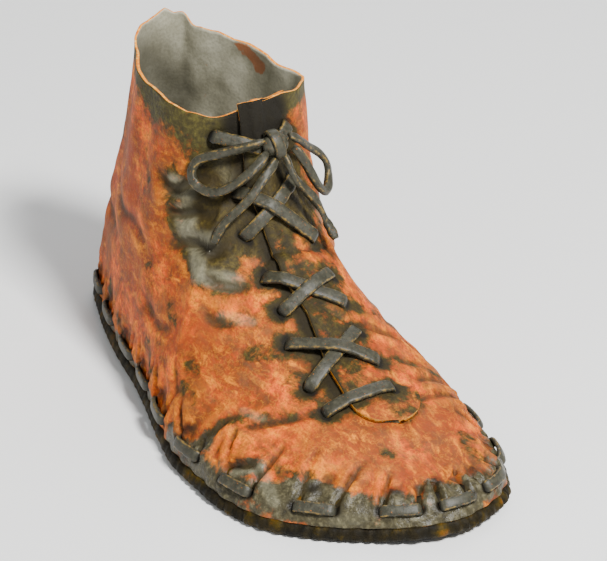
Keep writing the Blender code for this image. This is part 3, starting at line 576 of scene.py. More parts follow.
# %% Holes of the laces
HOLE_DIP, HOLE_RADIUS, SLOT_WIDTH = 0.0015, 0.0034, 0.0052


def spot_on_hide(arc, across):
    """The place on the hide at these shares down the ridge and across it, found on the ribs."""
    flat = HIDE.reshape(-1, 3)
    point, _, normal = on_ridge(arc * SHOE_LENGTH)
    offset = flat - point - ACROSS * across * BALL_WIDTH
    depth = offset @ normal
    away = np.linalg.norm(offset - depth[:, None] * normal, axis=1)
    away[np.abs(depth) > LINE_REACH] = FAR
    return flat[np.argmin(away)]


HOLE_PLACES = [spot_on_hide(0.038, -0.141), spot_on_hide(0.047, 0.133)]
for bar in LACE_BARS:
    HOLE_PLACES += [spot_on_hide(bar.arc_from, bar.across_from), spot_on_hide(bar.arc_to, bar.across_to)]
for spot in HOLE_PLACES:
    distance = np.linalg.norm(HIDE - spot, axis=2)
    PUSH -= HOLE_DIP * np.exp(-(distance / HOLE_RADIUS) ** 2)
print("holes:", len(HOLE_PLACES))

# %% [markdown]
# Beside the laces, along the lap's free edge and under the bow, the hide is turned olive and darkened with
# painted shade, for a few millimetres on both sides of each line. A narrow dark slot is painted across each
# lace's end, as the shade of the hole where the thong goes in.

# %% Lines of painted shade
LAP_EDGE = [(-0.005, -0.058), (0.10, -0.072), (0.22, -0.076), (0.34, -0.072), (0.40, -0.088), (0.455, -0.114),
            (0.51, -0.130)]
SHADE_AND_OLIVE_LINES = [(np.array([spot_on_hide(*spot) for spot in LAP_EDGE]), 6.0, 0.7)]
SLOTS = []
for bar in LACE_BARS:
    ends = [spot_on_hide(bar.arc_from, bar.across_from), spot_on_hide(bar.arc_to, bar.across_to)]
    SHADE_AND_OLIVE_LINES.append((np.array(ends), 9.0, 0.62))
    along = unit(ends[1] - ends[0])
    side = unit(np.cross(along, on_ridge(bar.arc_from * SHOE_LENGTH)[2]))
    for spot, way in zip(ends, (-1, 1)):
        middle = spot + along * way * 0.6 * MM
        SLOTS.append(np.array([middle - side * SLOT_WIDTH / 2, middle + side * SLOT_WIDTH / 2]))
# Painted shadow under the bow, a little below its loops and ends.
for route in BOW_ROUTES.values():
    SHADE_AND_OLIVE_LINES.append((np.array(route) * MM - [2 * MM, 0, 4 * MM], 8.0, 0.55))
SHADE_AND_OLIVE_LINES.append((np.array([spot_on_hide(0.06, -0.14), spot_on_hide(0.07, 0.14)]), 9.0, 0.6))
print("lines:", len(SHADE_AND_OLIVE_LINES))

# %% [markdown]
# Under the creases the hide is never flat: it has broad soft waves and a fine pebble. Smooth noise of two
# sizes is added, and nothing is left to chance between one run and the next, because the noise is fixed.

# %% Soften and close the hide
WAVE_HEIGHT, WAVE_SIZE = 0.0013, 0.030
PEBBLE_HEIGHT, PEBBLE_SIZE = 0.00035, 0.008


def waves(points, size, seed):
    """Smooth noise from -1 to 1 at every point, with bumps of about this size in metres."""
    flat = points.reshape(-1, 3) / size + seed
    return np.array([noise.noise(Vector(point)) for point in flat]).reshape(points.shape[:2])


PUSH += WAVE_HEIGHT * waves(HIDE, WAVE_SIZE, 7.0) * np.clip(SHARES / 0.1, 0, 1)
PUSH += PEBBLE_HEIGHT * waves(HIDE, PEBBLE_SIZE, 3.0)
near_rim = np.clip((1 - SHARES) / 0.06, 0, 1)[None, :]
PUSH *= np.where(np.abs(NUMBERS)[:, None] <= COLLAR_FRONT, 0.3 + 0.7 * near_rim, near_rim)
DRESSED = HIDE + NORMALS * PUSH[:, :, None]
at_rim = np.clip((SHARES - 0.93) / 0.07, 0, 1)[None, :]
for number, lift in RIM_CUTS:
    rise = np.clip(1 - np.abs(NUMBERS - number) / 0.45, 0, 1) * lift * MM
    DRESSED[:, :, 2] += rise[:, None] * at_rim
DRESSED[-1] = DRESSED[0]
print("hide laid, top at", round(DRESSED[:, :, 2].max(), 4), "m")

# %% [markdown]
# The troughs of the creases get painted shade and the crests a painted highlight. How far each point lies
# below or above the hide round it says how much of either it gets.

# %% Troughs and crests
def blurred(field, rounds):
    """A field smoothed over its neighbours, round the shoe and up it."""
    soft = field.copy()
    for _ in range(rounds):
        soft = 0.5 * soft + 0.25 * (np.roll(soft, 1, axis=0) + np.roll(soft, -1, axis=0))
        soft[:, 1:-1] = 0.5 * soft[:, 1:-1] + 0.25 * (soft[:, :-2] + soft[:, 2:])
    return soft


def crease_shade_and_crest_highlight(push, rounds):
    """How far each point lies below the leather round it and how far above, each held between 0 and 1."""
    relief = (blurred(push, 1) - blurred(push, rounds)) / MM
    return np.clip(-1.9 * relief, 0, 1), np.clip(2.4 * relief, 0, 1)


CREASE_SHADE, CREST_HIGHLIGHT = crease_shade_and_crest_highlight(PUSH, 14)
print("in troughs and on crests:", [round(float((field > 0.5).mean()), 3) for field in (CREASE_SHADE, CREST_HIGHLIGHT)])

# %% [markdown]
# ## Stains of the leather
# The hide is mottled: orange and rust, with olive blotches and dark leather at the collar. Where worn leather
# shines, a pale sheen is painted on as a highlight, and narrow dark strokes paint shade in some creases; the
# painted shade round the laces comes later. The places are listed as soft strokes, each a line on the ribs
# with a radius, and kept as numbers on the mesh. The material frays their edges with noise.

# %% Paint the strokes
def painted(points, strokes):
    """The strength at every point of one kind of stroke, from its strokes; the kinds are stains, painted
    highlights and painted shade.
    """
    strength = np.zeros(points.shape[:2])
    for places, radius, amount in strokes:
        distance, _ = distance_to_line(points, drawn_line(places, 6))
        fall = np.clip(1.35 - distance / (radius * MM), 0, 1)
        strength = np.maximum(strength, amount * fall * fall * (3 - 2 * fall))
    return strength


def collar_band(points, numbers):
    """How much a point belongs to the dark band under the collar's rim."""
    band = np.zeros(points.shape[:2])
    for i, number in enumerate(numbers):
        under = top(number)[2] - points[i, :, 2]
        if abs(number) <= COLLAR_FRONT:
            deep = 0.011 + 0.012 * np.clip((number - 3) / 5, 0, 1) + 0.002 * math.sin(2.7 * number)
            band[i] = np.clip(1.4 - under / deep, 0, 1)
    return band


# %% Table of strokes
# Each stroke: its places on the ribs, its radius in mm, its strength.
STROKES = {
    "olive": [([(5.0, 0.75), (5.7, 0.67)], 4, 0.8), ([(3.6, 0.06), (3.9, 0.17)], 5, 0.9),
        ([(6.2, 0.43), (6.5, 0.39)], 4, 0.8), ([(7.9, 0.42), (8.2, 0.38)], 5, 0.8),
        ([(9.5, 0.69), (10.0, 0.78)], 5, 0.8), ([(10.9, 0.94), (-10.8, 0.93)], 9, 0.9),
        ([(-11.4, 0.94), (-11.2, 0.8)], 9, 0.9), ([(-12.4, 0.82), (-12.2, 0.73)], 5, 0.8),
        ([(9.5, 0.34), (9.9, 0.35)], 4, 0.8), ([(10.9, 0.57), (11.2, 0.65), (11.4, 0.69)], 5, 0.9),
        ([(7.5, 0.3), (7.9, 0.27)], 4, 0.7), ([(-13.3, 0.97), (-14.0, 0.96), (-13.5, 0.84)], 9, 0.9),
        ([(14.8, 0.73), (14.9, 0.78)], 4, 0.7), ([(9.6, 0.09), (10.1, 0.03)], 6, 0.8),
        ([(9.6, 0.27), (10.1, 0.28)], 4, 0.7), ([(11.9, 0.68), (12.2, 0.78)], 9, 0.9),
        ([(10.1, 0.67), (10.4, 0.76)], 4, 0.8), ([(1.5, 0.3), (1.2, 0.12)], 5, 0.9),
        ([(2.4, 0.72), (2.2, 0.6)], 4, 0.7), ([(7.0, 0.2), (7.4, 0.12)], 6, 0.8),
        ([(8.7, 0.9), (8.2, 0.78), (8.6, 0.66), (9.2, 0.6)], 15, 1.8),
        ([(7.4, 0.92), (8.2, 0.84)], 13, 1.2), ([(9.0, 0.98), (9.4, 0.86), (9.8, 0.8)], 15, 1.9),
        ([(-9.2, 0.95), (-9.6, 0.8)], 18, 1.8), ([(-8.6, 0.8), (-9.2, 0.62)], 10, 0.9),
        ([(9.4, 0.97), (10.4, 0.96), (12.4, 0.96)], 8, 1.1), ([(-12.2, 0.6), (-12.0, 0.4)], 5, 0.8),
        ([(-11.0, 0.6), (-10.8, 0.4)], 6, 0.8), ([(11.3, 0.36), (12.3, 0.56)], 4, 0.9),
        ([(10.8, 0.22), (11.2, 0.35), (11.7, 0.42)], 3, 0.9), ([(12.6, 0.74), (12.8, 0.92)], 8, 0.8),
        ([(13.0, 0.3), (13.5, 0.34)], 7, 0.8), ([(16.2, 0.5), (16.9, 0.45)], 7, 0.8),
        ([(6.0, 0.07), (6.6, 0.05)], 5, 0.8), ([(4.8, 0.1), (5.3, 0.05)], 5, 0.8),
        ([(-3.0, 0.8), (-4.2, 0.6)], 9, 0.8), ([(-6.4, 0.5), (-7.4, 0.4)], 9, 0.8),
        ([(-8.4, 0.2), (-9.6, 0.26)], 8, 0.8), ([(-14.4, 0.55), (-15.0, 0.4)], 6, 0.7),
        ([(-1.6, 0.4), (-2.2, 0.24)], 8, 0.7), ([(-5.0, 0.22), (-5.6, 0.1)], 8, 0.8)],
    # The sheen strokes are painted highlights: pale grey where worn leather shines, which is also less rough.
    "gloss_and_painted_sheen": [([(7.4, 0.69), (8.1, 0.63), (9.0, 0.6)], 7, 1.0), ([(6.7, 0.75), (7.5, 0.76)], 6, 1.0),
        ([(9.4, 0.57), (10.0, 0.65)], 6, 0.8), ([(10.0, 0.54), (10.6, 0.63)], 4, 0.55),
        ([(12.6, 0.26), (13.1, 0.14)], 4, 0.6), ([(14.3, 0.06), (14.8, 0.1)], 4, 0.45),
        ([(15.9, 0.12), (16.2, 0.24)], 3, 0.6), ([(11.9, 0.19), (12.4, 0.29)], 4, 0.6),
        ([(8.4, 0.84), (8.9, 0.78)], 6, 0.5), ([(8.6, 0.58), (9.0, 0.52)], 6, 0.8),
        ([(-7.4, 0.66), (-8.4, 0.58)], 8, 0.5), ([(-5.4, 0.74), (-6.4, 0.72)], 6, 0.4),
        ([(-10.4, 0.52), (-10.9, 0.38)], 5, 0.4), ([(11.3, 0.4), (11.8, 0.45)], 3, 0.5)],
    "grey": [([(9.8, 0.0), (11.0, 0.02), (12.0, 0.08), (13.0, 0.14), (14.0, 0.16)], 10, 1.4),
        ([(14.0, 0.14), (14.8, 0.1), (15.6, 0.16), (16.4, 0.16), (17.0, 0.14)], 11, 1.4),
        ([(-17.0, 0.14), (-16.2, 0.16), (-15.4, 0.18)], 11, 1.4), ([(13.3, 0.24), (13.9, 0.28)], 7, 1.4),
        ([(14.3, 0.24), (14.6, 0.12)], 7, 1.3), ([(15.4, 0.3), (15.8, 0.14)], 7, 1.3),
        ([(16.5, 0.46), (16.8, 0.3)], 8, 1.3), ([(-16.3, 0.3), (-15.7, 0.18)], 7, 1.3),
        ([(12.0, 0.2), (12.3, 0.28)], 6, 1.2), ([(-14.6, 0.12), (-12.0, 0.08), (-9.0, 0.05)], 8, 1.1),
        ([(8.4, 0.03), (6.4, 0.02), (4.0, 0.02)], 5, 1.1), ([(10.6, 0.12), (10.9, 0.2)], 6, 1.1)],
    # The dark strokes: dark leather at the collar's front, and narrow lines of painted shade in the deeper
    # creases.
    "dark": [([(9.1, 0.99), (9.0, 0.93), (-8.8, 0.95)], 15, 1.0), ([(9.2, 0.84), (9.7, 0.86)], 9, 0.6),
        ([(-9.3, 0.93), (-9.7, 0.84)], 8, 0.6), ([(10.0, 0.96), (11.8, 0.98)], 3, 0.5),
        ([(-12.9, 0.6), (-12.6, 0.4)], 2.2, 0.6), ([(11.4, 0.33), (12.2, 0.52)], 1.6, 0.5),
        ([(10.2, 0.8), (-10.5, 0.94), (-10.0, 0.68)], 2.0, 0.6),
        ([(-11.6, 0.92), (-11.5, 0.66)], 2.0, 0.5)],
    "rust": [([(9.9, 0.8), (10.2, 0.9)], 6, 0.7), ([(-10.5, 0.86), (-10.2, 0.7)], 7, 0.8),
        ([(-12.2, 0.92), (-12.0, 0.8)], 7, 0.8), ([(13.0, 0.9), (-13.2, 0.9)], 5, 0.7),
        ([(4.0, 0.7), (4.6, 0.5)], 14, 0.7), ([(8.6, 0.36), (9.6, 0.44)], 12, 0.6),
        ([(1.0, 0.6), (2.4, 0.3)], 14, 0.6), ([(15.6, 0.62), (16.4, 0.7)], 10, 0.6),
        ([(12.6, 0.46), (13.2, 0.7)], 9, 0.5), ([(-14.6, 0.84), (-13.8, 0.6)], 9, 0.6)],
}
LINING_STROKES = {
    "patch": [([(-3.7, 0.97), (-4.3, 0.93)], 5, 0.95)],
    "shade": [([(3.0, 0.9), (1.1, 0.8), (-0.2, 0.66)], 22, 0.9), ([(-4.5, 0.45), (-7.0, 0.45)], 22, 0.7)],
}
print("strokes:", {kind: len(strokes) for kind, strokes in STROKES.items()})

# %% [markdown]
# ## Colours and nodes
# Colours are read as the hex numbers a painter would note and turned into the linear light that Blender
# mixes, a little deeper than noted, because the studio's film pales them. A small helper adds one shader node
# with its settings and its links, so a material reads as a list of layers.

# %% Helpers for materials
DEEPEN = 1.42


def paint(code):
    """A colour from its sRGB hex number, in linear light."""
    parts = [int(code[i:i + 2], 16) / 255 for i in (1, 3, 5)]
    light = [c / 12.92 if c <= 0.04045 else ((c + 0.055) / 1.055) ** 2.4 for c in parts]
    grey = sum(light) / 3
    return (*[min(0.92, max(0.002, grey + DEEPEN * (c - grey))) for c in light], 1.0)


def node(tree, kind, sockets=None, **settings):
    """A node with its settings; a socket gets a number or colour, or a link from another node's output."""
    made = tree.nodes.new(kind)
    for name, value in settings.items():
        setattr(made, name, value)
    for key, value in (sockets or {}).items():
        if isinstance(value, bpy.types.NodeSocket):
            tree.links.new(value, made.inputs[key])
        else:
            made.inputs[key].default_value = value
    return made


def grain(tree, where, size, detail=4.0, rough=0.55):
    """Noise with patches of about this many millimetres, 0 to 1."""
    sockets = {"Vector": where, "Scale": 1 / (size * MM), "Detail": detail, "Roughness": rough}
    return node(tree, "ShaderNodeTexNoise", sockets).outputs["Fac"]


def ramp(tree, value, *stops):
    """Colours, or greys, along a value: each stop is a place from 0 to 1 and a hex colour or a number."""
    made = node(tree, "ShaderNodeValToRGB", {"Fac": value})
    for _ in stops[2:]:
        made.color_ramp.elements.new(0.5)
    for element, (where, tint) in zip(made.color_ramp.elements, stops):
        element.position = where
        element.color = paint(tint) if isinstance(tint, str) else (tint, tint, tint, 1.0)
    return made.outputs["Color"]


def mix(tree, share, one, two):
    """One colour over another, by a share."""
    return node(tree, "ShaderNodeMix", {0: share, 6: one, 7: two}, data_type="RGBA").outputs[2]


def over(tree, colour, *layers):
    """Layers on a colour: each has the value it follows, two stops of how much shows, and its hex colour."""
    for value, low, high, tint in layers:
        colour = mix(tree, ramp(tree, value, low, high), colour, paint(tint))
    return colour


def times(tree, value, factor, more=0.0):
    """A value times a factor, and more of another value or number."""
    sockets = {0: value, 1: factor, 2: more}
    return node(tree, "ShaderNodeMath", sockets, operation="MULTIPLY_ADD").outputs[0]


def off_middle(tree, value):
    """How far noise is from its middle: near 0 along thin winding lines."""
    return node(tree, "ShaderNodeMath", {0: times(tree, value, 1.0, -0.5)}, operation="ABSOLUTE").outputs[0]


def stain_of(tree, name):
    """A number kept on the mesh's points."""
    return node(tree, "ShaderNodeAttribute", attribute_name=name).outputs["Fac"]


def frayed(tree, name, noise_value, low=0.45, high=0.80, fray=2.4):
    """A painted stain whose edge is frayed by noise: soft strength in, a mottled 0 to 1 out."""
    mixed = times(tree, times(tree, noise_value, 1.0, -0.5), fray, stain_of(tree, name))
    sockets = {"Value": mixed, "From Min": low, "From Max": high}
    return node(tree, "ShaderNodeMapRange", sockets, interpolation_type="SMOOTHSTEP").outputs[0]


def finish_with(name, gloss, coat=0.0):
    """A new material with its gloss and coat, its nodes, its shader, and where on the piece each point is."""
    made = bpy.data.materials.new(name)
    made.use_nodes = True
    shader = made.node_tree.nodes["Principled BSDF"]
    for socket, value in (("Specular IOR Level", gloss), ("Coat Weight", coat), ("Coat Roughness", 0.35)):
        shader.inputs[socket].default_value = value
    where = node(made.node_tree, "ShaderNodeTexCoord").outputs["Object"]
    return made, made.node_tree, shader, where


def drive(tree, shader, colour, roughness, height, reach=1.0):
    """Links a colour, a roughness and a height in millimetres to the shader."""
    bump = node(tree, "ShaderNodeBump", {"Height": height, "Distance": reach * MM, "Strength": 1.0})
    for value, socket in ((colour, "Base Color"), (roughness, "Roughness"), (bump.outputs[0], "Normal")):
        tree.links.new(value, shader.inputs[socket])


print("a noted mid grey is mixed as", round(paint("#808080")[0], 3))

# %% [markdown]
# ## Mottled hide
# The leather was dyed and rubbed by hand. Orange lies over rust in clouds of about a centimetre, with pale
# rubbed veins between them, and the crests of the creases are lightened by a painted highlight. Over that
# come the rust, olive and grey strokes, then the pale sheen, which is a painted highlight, and last the
# painted shade of the troughs and the dark places, which are dark leather and painted shade. The sheen's
# places are worn smooth, so they are less rough too.

# %% The hide's finish
def make_hide():
    """Hide, dyed and rubbed by hand: dull, soft, clouded in colour, and shiny where it is worn smooth."""
    made, tree, shader, where = finish_with("mottled_hide_finish", 0.26)
    swirl = node(tree, "ShaderNodeTexNoise", {"Vector": where, "Scale": 70.0, "Detail": 3.0}).outputs["Color"]
    halves = (0.5, 0.5, 0.5)
    shift = node(tree, "ShaderNodeVectorMath", {0: swirl, 1: halves}, operation="SUBTRACT").outputs[0]
    bend = node(tree, "ShaderNodeVectorMath", {0: shift, "Scale": 7 * MM}, operation="SCALE").outputs[0]
    bent = node(tree, "ShaderNodeVectorMath", {0: where, 1: bend}, operation="ADD").outputs[0]
    brush = {"Vector": bent, "Rotation": (0.4, 0.5, 0.7), "Scale": (0.35, 1.0, 1.0)}
    brushed = node(tree, "ShaderNodeMapping", brush).outputs[0]
    clouds, broad = grain(tree, bent, 13, 8.0, 0.66), grain(tree, where, 34)
    fine, speck = grain(tree, bent, 2.6, 6.0, 0.68), grain(tree, where, 1.1, 3.0, 0.6)
    streak, dirt = grain(tree, brushed, 4.5, 6.0, 0.66), grain(tree, brushed, 11, 8.0, 0.72)
    rag, veins = grain(tree, bent, 7, 7.0, 0.70), off_middle(tree, grain(tree, bent, 6, 6.0, 0.62))

    hide = ramp(tree, clouds, (0.34, "#5A3828"), (0.43, "#84462E"), (0.50, "#B0583A"), (0.57, "#DA7442"),
                (0.68, "#F9994E"))
    hide = over(tree, hide,
                (broad, (0.42, 0.85), (0.58, 0.0), "#7C4632"),
                (streak, (0.53, 0.0), (0.68, 0.8), "#FC9A50"),
                (streak, (0.34, 0.8), (0.48, 0.0), "#66402E"),
                (fine, (0.30, 0.75), (0.46, 0.0), "#583A2C"),
                (fine, (0.60, 0.0), (0.74, 0.5), "#FCA058"),
                (veins, (0.0, 0.22), (0.03, 0.0), "#FCA65C"))
    # Painted highlight on the crests of the creases.
    hide = mix(tree, times(tree, stain_of(tree, "crest_highlight"), 0.2), hide, paint("#F49A54"))
    hide = over(tree, hide,
                (speck, (0.36, 0.45), (0.50, 0.0), "#70402C"),
                (dirt, (0.50, 0.0), (0.66, 0.62), "#5C4636"))

    grey, dark = frayed(tree, "grey", rag, 0.36, 1.05, 3.0), frayed(tree, "dark", fine, 0.15, 0.95, 0.6)
    gloss_and_painted_sheen = frayed(tree, "gloss_and_painted_sheen", broad, 0.15, 1.25, 0.8)
    stains = [
        (times(tree, frayed(tree, "rust", rag, 0.2, 1.0, 2.0), 0.75), paint("#84432C")),
        (frayed(tree, "olive", rag, 0.34, 1.05, 3.0),
         ramp(tree, fine, (0.30, "#1D180C"), (0.50, "#342C18"), (0.70, "#564C2E"))),
        (grey, ramp(tree, fine, (0.30, "#242119"), (0.52, "#423E31"), (0.72, "#6E6957"))),
        (frayed(tree, "band", rag, 0.34, 0.80, 2.0),
         ramp(tree, fine, (0.30, "#231F14"), (0.50, "#3C3722"), (0.72, "#5C5636"))),
        # The sheen: a painted highlight, pale grey.
        (times(tree, gloss_and_painted_sheen, 0.8), ramp(tree, fine, (0.32, "#6E6B5C"), (0.60, "#929080"))),
        # Painted shade in the troughs of the creases.
        (times(tree, frayed(tree, "trough", fine, 0.1, 1.1, 0.7), 0.80), paint("#2C2517")),
        # Dark leather, and painted shade round the lace holes, slots and stitches, beside the laces and under
        # the bow.
        (times(tree, dark, 0.97), paint("#110E08")),
    ]
    for share, tint in stains:
        hide = mix(tree, share, hide, tint)

    rough = 0.62
    for value, factor in ((grey, -0.34), (dark, 0.14), (gloss_and_painted_sheen, -0.22), (fine, 0.12)):
        rough = times(tree, value, factor, rough)
    pores = node(tree, "ShaderNodeTexVoronoi", {"Vector": bent, "Scale": 1 / (1.5 * MM)}, feature="SMOOTH_F1")
    wrinkle = ramp(tree, off_middle(tree, grain(tree, bent, 9, 5.0, 0.55)), (0.0, 0.0), (0.05, 1.0))
    height = times(tree, speck, 0.12)
    for value, factor in ((pores.outputs["Distance"], 0.10), (fine, 0.30), (wrinkle, 0.10)):
        height = times(tree, value, factor, height)
    drive(tree, shader, hide, rough, height)
    return made


HIDE_FINISH = make_hide()
print("hide's finish:", len(HIDE_FINISH.node_tree.nodes), "nodes")

# %% [markdown]
# Inside, the leather is smooth flesh side: grey-olive, with painted shade at the back and on the inner side,
# and one rusty place high on the inner side. The cut edges show the raw, undyed core, which is the pale
# orange line round the collar. The lap's cut edge is made darker.

# %% Lining and cut edges
def make_lining():
    """The hide's flesh side, undyed: smooth, pale olive-grey, with a faint shine."""
    made, tree, shader, where = finish_with("flesh_side_finish", 0.4, coat=0.05)
    clouds, fine = grain(tree, where, 22, 5.0), grain(tree, where, 1.4, 4.0, 0.6)
    lining = ramp(tree, clouds, (0.30, "#8C897A"), (0.50, "#AEAB9C"), (0.70, "#C6C3B4"))
    lining = over(tree, lining, (fine, (0.35, 0.30), (0.6, 0.0), "#5A574A"))
    # Painted shade inside the shoe, at the back and on the inner side.
    lining = mix(tree, times(tree, stain_of(tree, "shade"), 0.8), lining, paint("#2C2A24"))
    patch = frayed(tree, "patch", grain(tree, where, 6, 6.0, 0.62))
    lining = mix(tree, times(tree, patch, 0.75), lining, paint("#9C6146"))
    drive(tree, shader, lining, times(tree, fine, 0.2, 0.42), fine, 0.12)
    return made


def make_cut_edge():
    """The hide's cut edge, knife-cut and raw: pale orange fibres, dull."""
    made, tree, shader, where = finish_with("cut_edge_finish", 0.25)
    fibre = grain(tree, where, 1.8, 5.0, 0.65)
    raw = ramp(tree, fibre, (0.30, "#B86A34"), (0.50, "#E79A5A"), (0.68, "#F6C890"))
    edge = mix(tree, stain_of(tree, "dull"), raw, ramp(tree, fibre, (0.3, "#211C13"), (0.7, "#665A3A")))
    drive(tree, shader, edge, times(tree, fibre, 0.2, 0.6), fibre, 0.25)
    return made


LINING, CUT_EDGE = make_lining(), make_cut_edge()
print("finishes:", LINING.name, CUT_EDGE.name)

# %% [markdown]
# ## Thongs
# The laces are flat strips of the same leather, dyed dark olive-grey and handled until their edges rubbed
# through to tan. The rubbed edge follows a number kept on the strip's own points.

# %% Thong, sole and insole finishes
def make_thong():
    """Thong leather, cut in strips and waxed by handling: dark, half shiny, tan at its edges."""
    made, tree, shader, where = finish_with("thong_leather_finish", 0.35)
    fine, tiny = grain(tree, where, 2.2, 6.0, 0.65), grain(tree, where, 0.8, 3.0, 0.6)
    thong = ramp(tree, fine, (0.28, "#24231C"), (0.50, "#33322A"), (0.72, "#47453B"))
    rub = frayed(tree, "worn", fine, 0.80, 1.20, 2.0)
    thong = mix(tree, times(tree, rub, 0.6), thong, paint("#8C7449"))
    thong = over(tree, thong, (tiny, (0.66, 0.0), (0.74, 0.8), "#B0703F"))
    # Painted shade where the thong goes into a hole.
    thong = mix(tree, stain_of(tree, "hole_shade"), thong, paint("#0B0A08"))
    drive(tree, shader, thong, times(tree, fine, 0.25, 0.34), times(tree, tiny, 0.3, fine), 0.22)
    return made


def make_sole_leather():
    """Sole leather, blackened by dirt: dull and nearly black, brown where it is rubbed."""
    made, tree, shader, where = finish_with("sole_leather_finish", 0.12)
    clouds, fine = grain(tree, where, 9, 6.0, 0.62), grain(tree, where, 1.8, 5.0, 0.65)
    sole = ramp(tree, clouds, (0.34, "#0D0B05"), (0.50, "#1D1808"), (0.60, "#3A3012"), (0.76, "#6E4A22"))
    sole = over(tree, sole, (fine, (0.34, 0.65), (0.52, 0.0), "#262218"))
    # Painted shade in the hollows of the pleats.
    sole = mix(tree, stain_of(tree, "fold"), sole, paint("#14120C"))
    drive(tree, shader, sole, times(tree, fine, 0.2, 0.5), fine, 0.4)
    return made


def make_insole():
    """Insole leather, pressed flat by the foot: dull, dark olive-grey."""
    made, tree, shader, where = finish_with("insole_leather_finish", 0.3)
    clouds, fine = grain(tree, where, 16, 5.0, 0.6), grain(tree, where, 1.2, 4.0, 0.6)
    insole = ramp(tree, clouds, (0.35, "#3E3A2E"), (0.65, "#6A6450"))
    insole = over(tree, insole, (fine, (0.35, 0.4), (0.55, 0.0), "#2E2B22"))
    drive(tree, shader, insole, times(tree, fine, 0.2, 0.6), fine, 0.2)
    return made


THONG, SOLE_LEATHER, INSOLE_LEATHER = make_thong(), make_sole_leather(), make_insole()
print("finishes:", THONG.name, SOLE_LEATHER.name, INSOLE_LEATHER.name)

# %% [markdown]
# ## The upper
# The strengths of the stains are worked out point by point and kept on the sheet. A wall is then grown inward
# from it, so the hide faces out, the lining faces in and the cut edge shows at the rim.

# %% The upper
BAND = collar_band(DRESSED, NUMBERS)


def stains_on(points, band):
    """Every stain's, painted highlight's and painted shade's strength at every point, under the names that
    the finish reads.
    """
    values = {kind: painted(points, strokes) for kind, strokes in {**STROKES, **LINING_STROKES}.items()}
    values["band"], values["dull"] = band, np.zeros(points.shape[:2])
    values["grey"] *= 1.0 + 0.7 * waves(points, 0.013, 11.0)
    round_sheen = [(places, 1.7 * radius, amount) for places, radius, amount in STROKES["gloss_and_painted_sheen"]]
    values["olive"] = np.maximum(values["olive"], painted(points, round_sheen))

    # Dark places of painted shade, each with its fullness at the middle, radius in mm and strength: round the
    # lace holes, then in the stitches' holes and in the pocket over each stitch.
    spots = [(spot, 1.6, 5.0, 0.6) for spot in HOLE_PLACES]
    for number in STITCHES:
        for side in (-1, 1):
            end = along_edge(number, side * 0.5 * STITCH_LENGTH)
            spots.append((place_on_hide(end, hole_share(end)), 1.5, 3.2, 1.0))
        shaded = along_edge(number, -0.25 * STITCH_LENGTH)
        spots.append((place_on_hide(shaded, share_at(shaded, 0.0115)), 1.5, 3.6, 0.75))
    dark = [amount * np.clip(full - np.linalg.norm(points - spot, axis=2) / (radius * MM), 0, 1)
            for spot, full, radius, amount in spots]
    # Painted shade in the slot at each lace's end, and along the lines beside the laces, the lap's edge and
    # under the bow, which also turn the hide olive.
    dark += [np.clip(2.3 - distance_to_line(points, line)[0] / (1.2 * MM), 0, 1) for line in SLOTS]
    shade_and_olive = [amount * np.clip(1.3 - distance_to_line(points, line)[0] / (radius * MM), 0, 1)
            for line, radius, amount in SHADE_AND_OLIVE_LINES]
    values["dark"] = np.maximum.reduce([values["dark"], *dark, *shade_and_olive])
    values["olive"] = np.maximum(values["olive"], 2.3 * np.maximum.reduce(shade_and_olive))
    return values


values = stains_on(DRESSED, BAND)
# Painted shade of the troughs and painted highlight of the crests, kept on the hide's points.
values["trough"], values["crest_highlight"] = CREASE_SHADE, CREST_HIGHLIGHT
hide_mesh = sheet("upper_hide", DRESSED, values, roll=True)
upper = show("upper_hide", hide_mesh, HIDE_FINISH, LINING, CUT_EDGE)
wall = upper.modifiers.new("wall", "SOLIDIFY")
wall.thickness = WALL
wall.offset = -1
wall.use_even_offset = True
wall.thickness_clamp = 1.0
wall.material_offset = 1
wall.material_offset_rim = 2
hide_tree = search_tree(hide_mesh)
print("upper:", len(hide_mesh.polygons), "faces before its wall")

# %% [markdown]
# ## The lap
# The inner quarter of the hide crosses the instep and lies on the outer one, down to a round end near the
# toe. It is laid over the creased hide point by point, so it takes the same creases, stands proud by its own
# thickness along its free edge, and sinks into the hide on its inner side, where it is the same leather.

# %% The lap over the instep
Lap = namedtuple("Lap", "arc outer inner free")
LAP_ROWS = [
    Lap(-0.005, -0.050, 0.150, 0),
    Lap(0.050, -0.058, 0.150, 0),
    Lap(0.120, -0.064, 0.150, 0),
    Lap(0.200, -0.066, 0.150, 0),
    Lap(0.270, -0.064, 0.150, 0),
    Lap(0.340, -0.062, 0.150, 0),
    Lap(0.400, -0.078, 0.150, 0),
    Lap(0.455, -0.104, 0.150, 0),
    Lap(0.500, -0.120, 0.140, 0),
    Lap(0.522, -0.122, 0.126, 1),
]
# The lap lies this far clear of the hide; past the middle it sinks in, and this deep at its inner edge.
LAP_CLEAR, LAP_SINK = 0.0004, 0.0005
LAP_ROW_COUNT, LAP_COLUMN_COUNT, LAP_SMOOTHINGS = 170, 40, 5


def over_hide(arc, across):
    """The hide's point over the instep at a distance down the ridge and across it, with its normal."""
    reached = max(arc, BELOW_RIM)
    point, ahead, normal = on_ridge(reached)
    start = point + ACROSS * across + normal * 0.03
    hit, face_normal, _, _ = hide_tree.ray_cast(Vector(start), Vector(-normal))
    return np.array(hit) + ahead * (arc - reached), np.array(face_normal)


